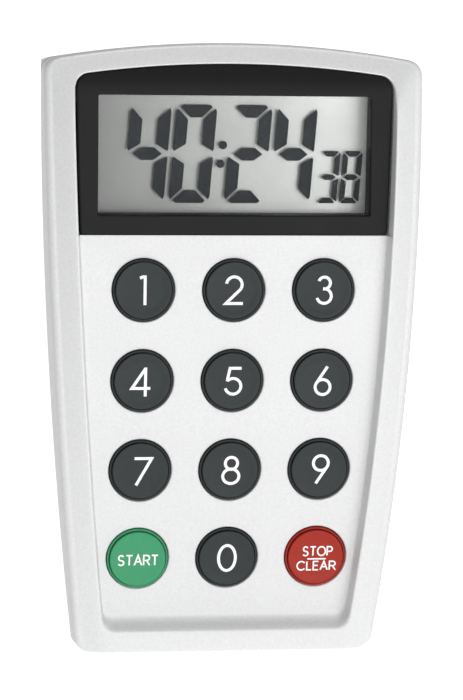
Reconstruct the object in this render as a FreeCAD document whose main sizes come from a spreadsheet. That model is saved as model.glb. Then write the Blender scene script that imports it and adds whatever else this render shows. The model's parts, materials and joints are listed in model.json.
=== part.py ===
import FreeCAD, Part

import math
import os

import Sketcher

# Kitchen countdown timer, parametric model in millimetres.
# It stands on its flat bottom edge: +Z is up, the keys face -Y, +X is to the right seen from the front.
# The origin is at the centre of the bottom edge, half way through the depth of the case.

# ---------------------------------------------------------------- driving dimensions
SIZES = [
    # case outline, seen from the front
    ("half_width_bottom", 27.3), ("half_width_top", 34.5), ("shoulder_height", 107.45),
    ("top_rise", 3.05), ("side_bulge", 1.56), ("top_corner", 2.3), ("bottom_corner", 2.6),
    # case seen from the side
    ("case_depth", 19.5), ("front_depth", 10.75), ("crown_radius", 330), ("crown_height", 56),
    ("brow_start", 99.3), ("brow_setback", 8.0), ("rear_draft", 7.5), ("back_rounding", 1.5),
    # walls
    ("side_wall", 2.0), ("panel_wall", 1.7), ("back_wall", 1.8), ("bottom_wall", 2.0),
    # rim and recessed panel
    ("recess_depth", 2.9), ("recess_draft", 10), ("rim_width", 5.2), ("rim_drop", 2.7),
    ("rim_land", 0.4), ("rim_rounding", 1.2), ("top_rim", 3.5), ("ramp_foot", 4.3), ("ramp_run", 1.6),
    # display bezel and its window
    ("bezel_bottom", 76.5), ("bezel_proud", 0.4), ("bezel_inset", 0.8), ("bezel_tilt", 4.16),
    ("bezel_gap", 0.12), ("seat_gap", 0.05), ("window_width", 49.5), ("window_height", 21.36),
    ("window_middle", 90.68), ("hood_wall", 1.2), ("hood_gap", 0.25), ("lens_thickness", 1.0),
    ("lens_recess", 0.5), ("lens_gap", 0.05),
    # liquid crystal display
    ("glass_thickness", 1.1), ("glass_width", 50.8), ("glass_height", 25.8), ("rear_glass_height", 21.8),
    ("reflector_thickness", 0.2), ("frame_wall", 0.6), ("frame_gap", 0.1), ("strip_width", 1.6),
    # keys
    ("key_pitch", 16.4), ("keypad_middle", 42), ("cap_diameter", 10.3), ("cap_rounding", 0.15),
    ("cap_dish", 0.12), ("key_proud", 0.8), ("shoulder_width", 0.45), ("shoulder_proud", 0.05),
    ("shoulder_rounding", 0.25), ("key_hole_gap", 0.15), ("flange_reach", 0.9),
    ("flange_thickness", 1.0), ("flange_gap", 0.1), ("stem_diameter", 6.0), ("key_travel", 0.9),
    ("stem_clearance", 0.1), ("collar_gap", 0.25), ("collar_wall", 0.7),
    ("mat_thickness", 0.9), ("mat_gap", 0.3), ("mat_margin", 5.6),
    # circuit board and what it carries
    ("board_thickness", 1.2), ("board_half_bottom", 22.6), ("board_half_top", 26.0),
    ("board_bottom", 10.5), ("board_top", 105.0), ("standoff_radius", 2.0),
    ("board_screw_x", 8.2), ("board_screw_x_top", 23.6), ("board_screw_z_top", 74.0),
    ("blob_radius", 5.0), ("blob_height", 1.4), ("crystal_radius", 1.0), ("crystal_length", 6.0),
    ("crystal_x", 9.0), ("chip_length", 2.0), ("chip_width", 1.25), ("chip_height", 0.9),
    ("screw_radius", 1.0), ("pilot_gap", 0.02), ("head_radius", 1.8), ("head_height", 1.3),
    # case screws and bosses
    ("upper_boss_x", 29.3), ("upper_boss_z", 100.5), ("lower_boss_x", 19.5), ("lower_boss_z", 6.2),
    ("front_boss_radius", 2.4), ("rear_boss_radius", 3.0), ("case_screw_length", 6.0),
    ("seat_height", 2.6), ("head_gap", 0.15),
    # battery, its cover and contacts
    ("cell_radius", 5.8), ("cell_thickness", 5.4), ("battery_z", 90.0), ("contact_thickness", 0.3),
    ("cover_radius", 9.5), ("cover_thickness", 1.45), ("cover_gap", 0.12), ("neck_radius", 8.0),
    ("ledge_thickness", 0.95), ("lug_reach", 0.9), ("lug_thickness", 0.9), ("lug_angle", 34),
    ("cover_turn", 50), ("well_wall", 1.0), ("well_gap", 0.45), ("coin_slot_length", 12.0),
    ("coin_slot_width", 1.8), ("coin_slot_depth", 0.7), ("blade_gap", 0.05), ("blade_width", 3.0),
    # buzzer
    ("buzzer_z", 66.0), ("brass_radius", 10.0), ("brass_thickness", 0.3), ("ceramic_radius", 7.0),
    ("ceramic_thickness", 0.25), ("buzzer_gap", 0.1), ("buzzer_ledge", 0.9), ("buzzer_wall", 1.1),
    ("buzzer_standoff", 1.0), ("sound_hole_radius", 0.85), ("sound_ring_radius", 4.0),
    ("lead_radius", 0.4), ("lead_bend", 1.2), ("lead_x", 3.0), ("lead_start", 14.0), ("lead_rise", 2.2),
    ("brass_joint", 8.6), ("ceramic_joint", 5.0),
    # fold-out stand
    ("stand_half_width", 11.7), ("stand_gap", 0.3), ("stand_bottom", 9.0), ("hinge_z", 48.5),
    ("stand_thickness", 2.2), ("stand_pan_depth", 2.5), ("pan_wall", 1.3), ("stub_radius", 1.0),
    ("stub_length", 1.1), ("stub_gap", 0.06), ("stand_corner", 3.0), ("groove_radius", 0.6),
    ("groove_pitch", 2.2), ("finger_half_width", 5.0), ("finger_height", 2.6), ("finger_depth", 2.0),
    # magnets
    ("magnet_x", 20.5), ("magnet_z", 88.0), ("magnet_radius", 5.0), ("magnet_thickness", 2.0),
    ("magnet_gap", 0.05), ("magnet_cup_wall", 1.2),
]

doc = FreeCAD.newDocument("kitchen_timer")
sheet = doc.addObject("Spreadsheet::Sheet", "Sheet")
for row, (alias, size) in enumerate(SIZES, start=1):
    sheet.set(f"A{row}", alias)
    sheet.set(f"B{row}", str(size))
    sheet.setAlias(f"B{row}", alias)
doc.recompute()


class Dim:
    """A length that carries its value and the sheet expression that it comes from."""

    def __init__(self, value, text):
        self.value = value
        self.text = text

    def __add__(self, other):
        other = dim(other)
        return Dim(self.value + other.value, f"({self.text} + {other.text})")

    def __sub__(self, other):
        other = dim(other)
        return Dim(self.value - other.value, f"({self.text} - {other.text})")

    def __mul__(self, other):
        other = dim(other)
        return Dim(self.value * other.value, f"({self.text} * {other.text})")

    def __truediv__(self, other):
        other = dim(other)
        return Dim(self.value / other.value, f"({self.text} / {other.text})")

    def __neg__(self):
        return Dim(-self.value, f"(0 - {self.text})")

    def __radd__(self, other):
        return dim(other) + self

    def __rsub__(self, other):
        return dim(other) - self

    def __rmul__(self, other):
        return dim(other) * self


def dim(number):
    return number if isinstance(number, Dim) else Dim(float(number), f"{float(number):.9g}")


def root(length):
    return Dim(math.sqrt(length.value), f"sqrt({length.text})")


def tangent(degrees):
    return Dim(math.tan(math.radians(degrees.value)), f"tan({degrees.text} * 1 deg)")


def arcsine(ratio):
    """The angle in degrees."""
    return Dim(math.degrees(math.asin(ratio.value)), f"(asin({ratio.text}) / 1 deg)")


class Sizes:
    """Each size of the sheet as a Dim, by its alias."""

    def __getattr__(self, alias):
        return Dim(float(sheet.get(alias)), f"Sheet.{alias}")


s = Sizes()

# ---------------------------------------------------------------- places worked out from the sizes
front_y = -s.case_depth / 2
back_y = s.case_depth / 2
parting_y = front_y + s.front_depth
total_height = s.shoulder_height + s.top_rise
crown_centre_y = front_y + s.crown_radius
panel_radius = s.crown_radius - s.recess_depth
inner_radius = panel_radius - s.panel_wall
board_y = parting_y
board_back_y = board_y + s.board_thickness
glass_y = board_y - s.reflector_thickness - s.glass_thickness * 2
back_inner_y = back_y - s.back_wall


def crown_y(radius, height):
    """Depth of a surface bowed about the case's long crown, at a height."""
    rise = height - s.crown_height
    return crown_centre_y - root(radius * radius - rise * rise)


window_low = s.window_middle - s.window_height / 2
window_high = s.window_middle + s.window_height / 2
brow_top_y = front_y + s.brow_setback
brow_foot_y = crown_y(s.crown_radius, s.brow_start)
brow_slope = (brow_top_y - brow_foot_y) / (total_height - s.brow_start)


def brow_y(height):
    return brow_foot_y + brow_slope * (height - s.brow_start)


# ---------------------------------------------------------------- helpers
def bind(item, **sizes):
    for name, size in sizes.items():
        item.setExpression(name, dim(size).text)


def place(item, x=0, y=0, z=0, axis=None, angle=0):
    """Puts an object at a bound place, turned about an axis."""
    if axis:
        turned = FreeCAD.Rotation(FreeCAD.Vector(*axis), dim(angle).value)
        item.Placement = FreeCAD.Placement(FreeCAD.Vector(), turned)
        if isinstance(angle, Dim):
            item.setExpression("Placement.Rotation.Angle", f"{angle.text} * 1 deg")
    for letter, size in zip("xyz", (x, y, z)):
        item.setExpression(f"Placement.Base.{letter}", dim(size).text)
    return item


def named(item, label):
    item.Label = label
    return item


def rod(name, x, y, z, radius, length, axis="y"):
    """A cylinder that starts at (x, y, z) and runs along +Y, +X or +Z."""
    item = doc.addObject("Part::Cylinder", name)
    bind(item, Radius=radius, Height=length)
    turn = {"x": ((0, 1, 0), 90), "y": ((1, 0, 0), -90), "z": (None, 0)}[axis]
    return place(item, x, y, z, *turn)


def block(name, x, y, z, width, depth, height):
    """A box with its lowest corner at (x, y, z)."""
    item = doc.addObject("Part::Box", name)
    bind(item, Length=width, Width=depth, Height=height)
    return place(item, x, y, z)


def slab(name, half_width, y, depth, low, high):
    """A box that is centred on X = 0."""
    return block(name, -dim(half_width), y, low, dim(half_width) * 2, depth, dim(high) - low)


def cut(name, base, *tools):
    item = doc.addObject("Part::Cut", name)
    item.Base = base
    item.Tool = tools[0] if len(tools) == 1 else fuse(name + "_tools", *tools)
    return item


def fuse(name, *shapes):
    item = doc.addObject("Part::MultiFuse", name)
    item.Shapes = list(shapes)
    return item


def common(name, *shapes):
    item = doc.addObject("Part::MultiCommon", name)
    item.Shapes = list(shapes)
    return item


def group(name, *shapes):
    """Separate solids that share one node."""
    item = doc.addObject("Part::Compound", name)
    item.Links = list(shapes)
    return item


def body(name):
    return doc.addObject("PartDesign::Body", name)


def sketch(owner, role, offset=0):
    """A sketch on one of its body's own origin planes, moved along the plane's normal."""
    item = owner.newObject("Sketcher::SketchObject", owner.Name + "_sketch")
    plane = next(f for f in owner.Origin.OriginFeatures if f.Role == role)
    item.AttachmentSupport = (plane, [""])
    item.MapMode = "FlatFace"
    item.setExpression("AttachmentOffset.Base.z", dim(offset).text)
    return item


def arc_through(start, end, radius):
    """A counter-clockwise arc edge. A positive radius bulges to the right of start -> end."""
    a = FreeCAD.Vector(*start)
    b = FreeCAD.Vector(*end)
    half = (b - a) * 0.5
    side = FreeCAD.Vector(half.y, -half.x, 0)
    side.normalize()
    reach = math.sqrt(max(radius * radius - half.Length ** 2, 0.0))
    centre = a + half - side * math.copysign(reach, radius)
    first, last = (a, b) if radius > 0 else (b, a)
    angles = [math.atan2(p.y - centre.y, p.x - centre.x) for p in (first, last)]
    circle = Part.Circle(centre, FreeCAD.Vector(0, 0, 1), abs(radius))
    return Part.ArcOfCircle(circle, angles[0], angles[1])


def outline(item, corners):
    """A closed outline. A corner is (x, y) or (x, y, radius): the edge that leaves a corner with a
    radius is an arc, which bulges to the right of its way round if the radius is positive."""
    corners = [tuple(dim(c) for c in corner) for corner in corners]
    points = [(c[0].value, c[1].value, 0) for c in corners]
    ends = []
    for i, corner in enumerate(corners):
        start, end = points[i], points[(i + 1) % len(points)]
        if len(corner) == 3:
            edge = item.addGeometry(arc_through(start, end, corner[2].value), False)
            ends.append((edge, 1, 2) if corner[2].value > 0 else (edge, 2, 1))
        else:
            edge = item.addGeometry(Part.LineSegment(FreeCAD.Vector(*start), FreeCAD.Vector(*end)), False)
            ends.append((edge, 1, 2))
    for i, (edge, _, last) in enumerate(ends):
        following, first, _ = ends[(i + 1) % len(ends)]
        item.addConstraint(Sketcher.Constraint("Coincident", edge, last, following, first))
    for (edge, first, _), corner in zip(ends, corners):
        for kind, size in zip(("DistanceX", "DistanceY"), corner):
            pin(item, Sketcher.Constraint(kind, -1, 1, edge, first, size.value), size)
        if len(corner) == 3:
            magnitude = corner[2] if corner[2].value > 0 else -corner[2]
            pin(item, Sketcher.Constraint("Radius", edge, magnitude.value), magnitude)
    return item


def pin(item, constraint, size):
    index = item.addConstraint(constraint)
    if "Sheet." in size.text:
        item.setExpression(f"Constraints[{index}]", size.text)


def disc(item, x, y, radius):
    edge = item.addGeometry(Part.Circle(FreeCAD.Vector(dim(x).value, dim(y).value, 0),
                                        FreeCAD.Vector(0, 0, 1), dim(radius).value), False)
    for kind, size in (("DistanceX", dim(x)), ("DistanceY", dim(y))):
        pin(item, Sketcher.Constraint(kind, -1, 1, edge, 3, size.value), size)
    pin(item, Sketcher.Constraint("Radius", edge, dim(radius).value), dim(radius))
    return item


def pad(owner, profile, length, reverse=False, both=False, draft=None):
    item = owner.newObject("PartDesign::Pad", owner.Name + "_pad")
    item.Profile = profile
    item.Reversed = reverse
    item.Midplane = both
    bind(item, Length=length)
    if draft:
        item.setExpression("TaperAngle", draft.text)
    doc.recompute()
    return item


def pocket(owner, profile, length=None, reverse=False, both=False):
    """A pocket that must take material away."""
    before = owner.Shape.Volume
    item = owner.newObject("PartDesign::Pocket", owner.Name + "_pocket")
    item.Profile = profile
    item.Reversed = reverse
    item.Midplane = both
    if length is None:
        item.Type = "ThroughAll"
    else:
        bind(item, Length=length)
    doc.recompute()
    if owner.Shape.Volume > before - 1e-6:
        raise RuntimeError(f"{item.Name} takes nothing away")
    return item


def dress(owner, kind, edges, **sizes):
    """A Fillet or Chamfer on the tip's edges that a test picks."""
    item = owner.newObject("PartDesign::" + kind, owner.Name + "_" + kind.lower())
    base = owner.Tip if owner.Tip != item else item.BaseFeature
    picked = [f"Edge{i}" for i, edge in enumerate(base.Shape.Edges, start=1) if edges(edge)]
    if not picked:
        raise RuntimeError(f"{item.Name} finds no edge")
    item.Base = (base, picked)
    bind(item, **sizes)
    doc.recompute()
    return item


def runs_along(edge, axis, slack=0.02):
    """True for an edge whose ends differ mostly along one axis."""
    ends = [v.Point for v in edge.Vertexes]
    if len(ends) < 2:
        return False
    step = ends[1] - ends[0]
    return step.Length > 0.5 and abs(abs(step[axis]) - step.Length) < slack * step.Length


def crown_solid(name, radius):
    """Everything behind a surface bowed about the long crown."""
    return rod(name, -s.half_width_top * 2, crown_centre_y, s.crown_height, radius, s.half_width_top * 4, "x")


# ---------------------------------------------------------------- the case outline
def case_corners(inset=0, bottom=0):
    """Half widths and heights of the outline, moved in by an inset on the sides and the top."""
    low = s.half_width_bottom - inset
    high = s.half_width_top - inset
    top = s.shoulder_height - inset
    chord = top - bottom
    lean = high - low
    side = (chord * chord + lean * lean) / (s.side_bulge * 8) + s.side_bulge / 2
    crest = (high * high + s.top_rise * s.top_rise) / (s.top_rise * 2)
    return [(-low, bottom), (low, bottom, side), (high, top, crest), (-high, top, side)]


def case_block(name):
    """The outline through the whole depth, with its four corners rounded."""
    owner = body(name)
    profile = outline(sketch(owner, "XZ_Plane", -back_y), case_corners())
    pad(owner, profile, s.case_depth)
    middle = total_height.value / 2
    dress(owner, "Fillet", lambda e: runs_along(e, 1) and e.Vertexes[0].Z > middle, Radius=s.top_corner)
    dress(owner, "Fillet", lambda e: runs_along(e, 1) and e.Vertexes[0].Z < 1, Radius=s.bottom_corner)
    return owner


outline_block = case_block("outline_block")


# ---------------------------------------------------------------- front housing
def front_blank():
    """The outline up to the parting plane, bowed in front, with the brow and the sloping rim."""
    owner = body("front_blank")
    profile = outline(sketch(owner, "XZ_Plane", -parting_y), case_corners())
    pad(owner, profile, s.front_depth)
    far = front_y - 5
    high = total_height + 5
    foot_y = crown_y(s.crown_radius, dim(0))
    front = [(far, -5), (foot_y, -5), (foot_y, 0, -s.crown_radius), (brow_foot_y, s.brow_start),
             (brow_y(high), high), (far, high)]
    pocket(owner, outline(sketch(owner, "YZ_Plane"), front), both=True)
    flare = (s.half_width_top - s.half_width_bottom) / s.shoulder_height
    parting = parting_y.value

    def side_edge(edge):
        """True for the long edges between the front and the side walls."""
        points = [v.Point for v in edge.Vertexes]
        wide = [abs(p.x) > s.half_width_bottom.value + flare.value * p.z - 0.3 for p in points]
        return (len(points) == 2 and abs(points[0].z - points[1].z) > 5
                and all(wide) and all(p.y < parting - 0.3 for p in points))

    rim = dress(owner, "Chamfer", side_edge, Size=s.rim_drop, Size2=s.rim_width - s.rim_land)
    rim.ChamferType = "Two distances"
    doc.recompute()
    dress(owner, "Fillet", side_edge, Radius=s.rim_rounding)
    return owner


def recess_corners(gap=0):
    """The recess at the foremost plane. Its walls lean in as they go back, so it is wider there where
    the case's front lies further back."""
    lean = tangent(s.recess_draft)
    low = s.half_width_bottom - s.rim_width + lean * (crown_y(s.crown_radius, s.ramp_foot) - front_y) - gap
    top = s.shoulder_height - s.top_rim
    high = s.half_width_top - s.rim_width + lean * (crown_y(s.crown_radius, top) - front_y) - gap
    top_lean = lean * (brow_y(top) - front_y)
    top = top + top_lean - gap
    bottom = s.ramp_foot - lean * (crown_y(s.crown_radius, s.ramp_foot) - front_y)
    chord = top - bottom
    step = high - low
    bulge = s.side_bulge / 4
    side = (chord * chord + step * step) / (bulge * 8) + bulge / 2
    crest = (high * high + s.top_rise * s.top_rise) / (s.top_rise * 2)
    return [(-low, bottom), (low, bottom, side), (high, top, crest), (-high, top, side)]


def recess_prism(name, gap=0):
    owner = body(name)
    profile = outline(sketch(owner, "XZ_Plane", -front_y), recess_corners(gap))
    pad(owner, profile, s.front_depth, reverse=True, draft=-s.recess_draft)
    middle = total_height.value / 2

    def slanted(edge):
        points = [v.Point for v in edge.Vertexes]
        return len(points) == 2 and abs(points[0].y - points[1].y) > 5

    dress(owner, "Fillet", lambda e: slanted(e) and e.Vertexes[0].Z > middle, Radius=s.top_corner * 1.6)
    dress(owner, "Fillet", lambda e: slanted(e) and e.Vertexes[0].Z < middle, Radius=s.bottom_corner * 1.2)
    return owner


def recess_floor():
    """What lies behind the recessed panel: its bowed floor, and the ramp up to the rim at the bottom."""
    owner = body("recess_floor")
    start = s.ramp_foot + s.ramp_run
    start_y = crown_y(panel_radius, start)
    foot_y = crown_y(s.crown_radius, s.ramp_foot)
    out_y = foot_y * 2 - start_y
    out_z = s.ramp_foot * 2 - start
    high = total_height + 5
    shape = [(out_y, -5), (parting_y + 5, -5), (parting_y + 5, high),
             (crown_y(panel_radius, high), high, panel_radius), (start_y, start), (out_y, out_z)]
    profile = outline(sketch(owner, "YZ_Plane"), shape)
    pad(owner, profile, s.half_width_top * 3, both=True)
    return owner


key_rows = [1.5, 0.5, -0.5, -1.5]
key_columns = [-1, 0, 1]
key_names = [["key_1", "key_2", "key_3"], ["key_4", "key_5", "key_6"], ["key_7", "key_8", "key_9"],
             ["key_start", "key_0", "key_stop_clear"]]


def key_spots():
    """(name, x, y, z, turn about X) of each key: on the panel's outer face, square to it."""
    spots = []
    for row, names in zip(key_rows, key_names):
        z = s.keypad_middle + s.key_pitch * row
        y = crown_y(panel_radius, z)
        turn = 90 - arcsine((z - s.crown_height) / panel_radius)
        for column, name in zip(key_columns, names):
            spots.append((name, s.key_pitch * column, y, z, turn))
    return spots


key_hole_radius = s.cap_diameter / 2 + s.shoulder_width + s.key_hole_gap


def square_rod(name, spot, low, high, radius):
    """A cylinder square to the panel at a key, from one height above the panel to another."""
    _, x, y, z, turn = spot
    item = doc.addObject("Part::Cylinder", name)
    bind(item, Radius=radius, Height=dim(high) - low)
    lean = 90 - turn
    sink = dim(low)
    cosine = Dim(math.cos(math.radians(lean.value)), f"cos({lean.text} * 1 deg)")
    sine = Dim(math.sin(math.radians(lean.value)), f"sin({lean.text} * 1 deg)")
    return place(item, x, y - cosine * sink, z + sine * sink, (1, 0, 0), turn)


board_screws = [(s.board_screw_x, s.keypad_middle - s.key_pitch),
                (s.board_screw_x, s.keypad_middle + s.key_pitch),
                (s.board_screw_x_top, s.board_screw_z_top)]
case_screws = [(s.upper_boss_x, s.upper_boss_z), (s.lower_boss_x, s.lower_boss_z)]


def posts(prefix, spots, y, radius, length):
    """The same rod at both sides of each spot."""
    made = []
    for i, (x, z) in enumerate(spots):
        for side, sign in (("right", 1), ("left", -1)):
            made.append(rod(f"{prefix}_{i}_{side}", x * sign, y, z, radius, length))
    return made


screw_hole = s.screw_radius + s.pilot_gap
screw_seat_y = parting_y + s.seat_height
bite_y = screw_seat_y - s.case_screw_length
recess = recess_prism("recess_prism")
crown_cavity = crown_solid("crown_cavity", inner_radius)


def front_housing():
    blank = common("front_shell", front_blank(), outline_block)
    cavity_body = body("front_cavity")
    inner = case_corners(s.side_wall, s.bottom_wall)
    pad(cavity_body, outline(sketch(cavity_body, "XZ_Plane", -parting_y), inner), s.front_depth)
    cavity = common("front_hollow", cavity_body, crown_cavity)
    recess_tool = cut("recess_tool", recess, recess_floor())
    zone = slab("bezel_zone", s.half_width_top, front_y, s.front_depth, s.bezel_bottom - s.bezel_gap,
                total_height)
    seat = common("bezel_seat_zone", recess, zone)
    seat_tool = cut("bezel_seat", seat, crown_solid("bezel_seat_floor", panel_radius - s.bezel_inset))
    hood = s.hood_wall + s.hood_gap
    hood_hole = slab("hood_hole", s.window_width / 2 + hood, front_y, s.front_depth, window_low - hood,
                     window_high + hood)
    holes = [square_rod(f"hole_{spot[0]}", spot, -s.panel_wall * 2, s.recess_depth, key_hole_radius)
             for spot in key_spots()]
    shell = cut("front_opened", blank, cavity, recess_tool, seat_tool, hood_hole, *holes)
    standoffs = posts("standoff", board_screws, front_y + s.recess_depth + s.panel_wall / 2,
                      s.standoff_radius, board_y - front_y - s.recess_depth - s.panel_wall / 2)
    bosses = posts("front_boss", case_screws, front_y + s.recess_depth + s.panel_wall,
                   s.front_boss_radius, s.front_depth - s.recess_depth - s.panel_wall)
    pillars = common("front_pillars", fuse("front_posts", *standoffs, *bosses), outline_block,
                     crown_solid("pillar_limit", panel_radius - s.panel_wall / 2))
    pilots = posts("board_pilot", board_screws, board_y - s.case_screw_length + s.board_thickness, screw_hole,
                   s.case_screw_length)
    pilots += posts("case_pilot", case_screws, bite_y - s.pilot_gap, screw_hole, parting_y - bite_y + 1)
    return named(cut("FrontHousing", fuse("front_with_posts", shell, pillars), *pilots), "front_housing")


# ---------------------------------------------------------------- display
def bezel_front_y(height):
    """The bezel's flat face: proud of the panel at its bottom edge, tilted back from there."""
    foot = crown_y(panel_radius, s.bezel_bottom) - s.bezel_proud
    return foot + tangent(s.bezel_tilt) * (height - s.bezel_bottom)


def display_bezel():
    slab_body = body("bezel_slab")
    slope = tangent(s.bezel_tilt)
    meet = (bezel_front_y(dim(0)) - brow_y(dim(0))) / (brow_slope - slope)
    high = total_height
    shape = [(bezel_front_y(s.bezel_bottom), s.bezel_bottom), (parting_y, s.bezel_bottom), (parting_y, high),
             (brow_y(high), high), (brow_y(meet), meet)]
    pad(slab_body, outline(sketch(slab_body, "YZ_Plane"), shape), s.half_width_top * 2, both=True)
    plate = cut("bezel_plate", common("bezel_front", recess_prism("bezel_prism", s.bezel_gap), slab_body),
                crown_solid("bezel_back", panel_radius - s.bezel_inset + s.seat_gap))
    hood_front = bezel_front_y(window_high) + 0.5
    hood = slab("bezel_hood", s.window_width / 2 + s.hood_wall, hood_front,
                glass_y - s.frame_gap - hood_front, window_low - s.hood_wall, window_high + s.hood_wall)
    window = slab("bezel_window", s.window_width / 2, front_y, s.front_depth, window_low, window_high)
    return named(cut("DisplayBezel", fuse("bezel_with_hood", plate, hood), window), "display_bezel")


def display_window():
    """The clear lens: a plate parallel to the bezel's face, a little behind it."""
    width = s.window_width - s.lens_gap * 2
    cosine = Dim(math.cos(math.radians(s.bezel_tilt.value)), "cos(Sheet.bezel_tilt * 1 deg)")
    height = (s.window_height - s.lens_gap * 2) / cosine - s.lens_thickness * tangent(s.bezel_tilt)
    item = doc.addObject("Part::Box", "DisplayWindow")
    bind(item, Length=width, Width=s.lens_thickness, Height=height)
    low = window_low + s.lens_gap + s.lens_thickness * tangent(s.bezel_tilt)
    place(item, -width / 2, bezel_front_y(low) + s.lens_recess, low, (1, 0, 0), -s.bezel_tilt)
    return named(item, "display_window")


def lcd_parts():
    half = s.glass_width / 2
    middle = s.window_middle

    def plate(name, half_width, y, depth, half_height):
        return slab(name, half_width, y, depth, middle - half_height, middle + half_height)

    front = plate("LcdFrontGlass", half, glass_y, s.glass_thickness, s.glass_height / 2)
    rear_y = glass_y + s.glass_thickness
    rear = plate("LcdRearGlass", half, rear_y, s.glass_thickness, s.rear_glass_height / 2)
    sheet_y = rear_y + s.glass_thickness
    mirror = plate("LcdReflector", half, sheet_y, s.reflector_thickness, s.rear_glass_height / 2)
    wide = half + s.frame_gap
    tall = s.glass_height / 2 + s.frame_gap
    depth = board_y - glass_y
    outer = plate("frame_outer", wide + s.frame_wall, glass_y, depth, tall + s.frame_wall)
    inner = plate("frame_inner", wide, glass_y - 1, depth + 2, tall)
    frame = cut("LcdFrame", outer, inner)
    ledge = (s.glass_height - s.rear_glass_height) / 4
    reach = s.rear_glass_height / 2 + ledge
    strips = []
    for name, sign in (("upper", 1), ("lower", -1)):
        centre = middle + reach * sign
        strip = slab(f"ConnectorStrip_{name}", half - s.glass_thickness, rear_y, board_y - rear_y,
                     centre - s.strip_width / 2, centre + s.strip_width / 2)
        strips.append(named(strip, f"connector_strip_{name}"))
    return [named(front, "lcd_front_glass"), named(rear, "lcd_rear_glass"), named(mirror, "lcd_reflector"),
            named(frame, "lcd_frame")] + strips


# ---------------------------------------------------------------- keys, mat and circuit board
def floor_depth(spot):
    """Distance square to the panel from its outer face to the mat's front face, at a key."""
    _, _, y, _, turn = spot
    lean = 90 - turn
    cosine = Dim(math.cos(math.radians(lean.value)), f"cos({lean.text} * 1 deg)")
    return (board_y - s.mat_thickness - y) / cosine


def key(spot):
    """A turned key: dished cap, lower shoulder that fills its hole, flange, stem. Its axis is its Z."""
    name, x, y, z, turn = spot
    owner = body("Body_" + name)
    cap = s.cap_diameter / 2
    shoulder = cap + s.shoulder_width
    flange = shoulder + s.flange_reach
    stem = s.stem_diameter / 2
    rim = cap - s.cap_rounding
    flange_top = -s.panel_wall - s.flange_gap
    flange_low = flange_top - s.flange_thickness
    tip = s.key_travel + s.stem_clearance - floor_depth(spot)
    dish = (rim * rim + s.cap_dish * s.cap_dish) / (s.cap_dish * 2)
    ledge = shoulder - s.shoulder_rounding
    profile = [(0, tip), (stem, tip), (stem, flange_low), (flange, flange_low), (flange, flange_top),
               (shoulder, flange_top),
               (shoulder, s.shoulder_proud - s.shoulder_rounding, s.shoulder_rounding),
               (ledge, s.shoulder_proud), (cap, s.shoulder_proud),
               (cap, s.key_proud - s.cap_rounding, s.cap_rounding),
               (rim, s.key_proud, -dish), (0, s.key_proud - s.cap_dish)]
    turned = owner.newObject("PartDesign::Revolution", "revolution_" + name)
    turned.Profile = outline(sketch(owner, "XZ_Plane"), profile)
    turned.ReferenceAxis = (turned.Profile[0], ["V_Axis"])
    turned.Angle = 360
    place(owner, x, y, z, (1, 0, 0), turn)
    return named(owner, name)


def keypad_mat():
    """One silicone sheet on the board, with a collar under each key."""
    spots = key_spots()
    mat_y = board_y - s.mat_thickness
    half = s.key_pitch + s.mat_margin
    reach = s.key_pitch * 1.5 + s.mat_margin
    base = slab("mat_sheet", half, mat_y, s.mat_thickness, s.keypad_middle - reach, s.keypad_middle + reach)
    bore = s.stem_diameter / 2 + s.collar_gap
    # the collars end just short of the flange of a key that is pressed
    top = -(s.panel_wall + s.flange_gap + s.flange_thickness + s.key_travel + s.mat_gap / 2)
    collars = []
    bores = []
    for spot in spots:
        floor = -floor_depth(spot)
        collars.append(square_rod(f"collar_{spot[0]}", spot, floor - s.mat_thickness / 2, top,
                                  bore + s.collar_wall))
        bores.append(square_rod(f"bore_{spot[0]}", spot, floor, top + 1, bore))
    clear = posts("mat_hole", board_screws[:2], mat_y - 1, s.standoff_radius + s.mat_gap, s.mat_thickness + 2)
    return named(cut("KeypadMat", fuse("mat_with_collars", base, *collars), *bores, *clear), "keypad_mat")


def circuit_board():
    owner = body("CircuitBoard")
    low, high = s.board_half_bottom, s.board_half_top
    item = sketch(owner, "XZ_Plane", -board_y)
    outline(item, [(-low, s.board_bottom), (low, s.board_bottom), (high, s.board_top), (-high, s.board_top)])
    for x, z in board_screws:
        for sign in (1, -1):
            disc(item, x * sign, z, screw_hole + s.pilot_gap)
    pad(owner, item, s.board_thickness, reverse=True)
    return named(owner, "circuit_board")


def screw(name, x, z, seat_y, length):
    """A pan-head screw whose tip points to the front, with a cross recess in its head."""
    shank = rod(name + "_shank", x, seat_y - length, z, s.screw_radius, length)
    head = rod(name + "_head", x, seat_y, z, s.head_radius, s.head_height)
    slot = s.head_radius * 0.3
    reach = s.head_radius * 0.6
    depth = s.head_height * 0.5
    slots = [block(name + "_slot_a", x - reach, seat_y + depth, z - slot / 2, reach * 2, depth * 2, slot),
             block(name + "_slot_b", x - slot / 2, seat_y + depth, z - reach, slot, depth * 2, reach * 2)]
    return cut(name, fuse(name + "_blank", shank, head), *slots)


def screw_set(label, spots, seat_y, length):
    screws = []
    for i, (x, z) in enumerate(spots):
        for side, sign in (("right", 1), ("left", -1)):
            screws.append(screw(f"{label}_{i}_{side}", x * sign, z, seat_y, length))
    return named(group(label + "_group", *screws), label)


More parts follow.
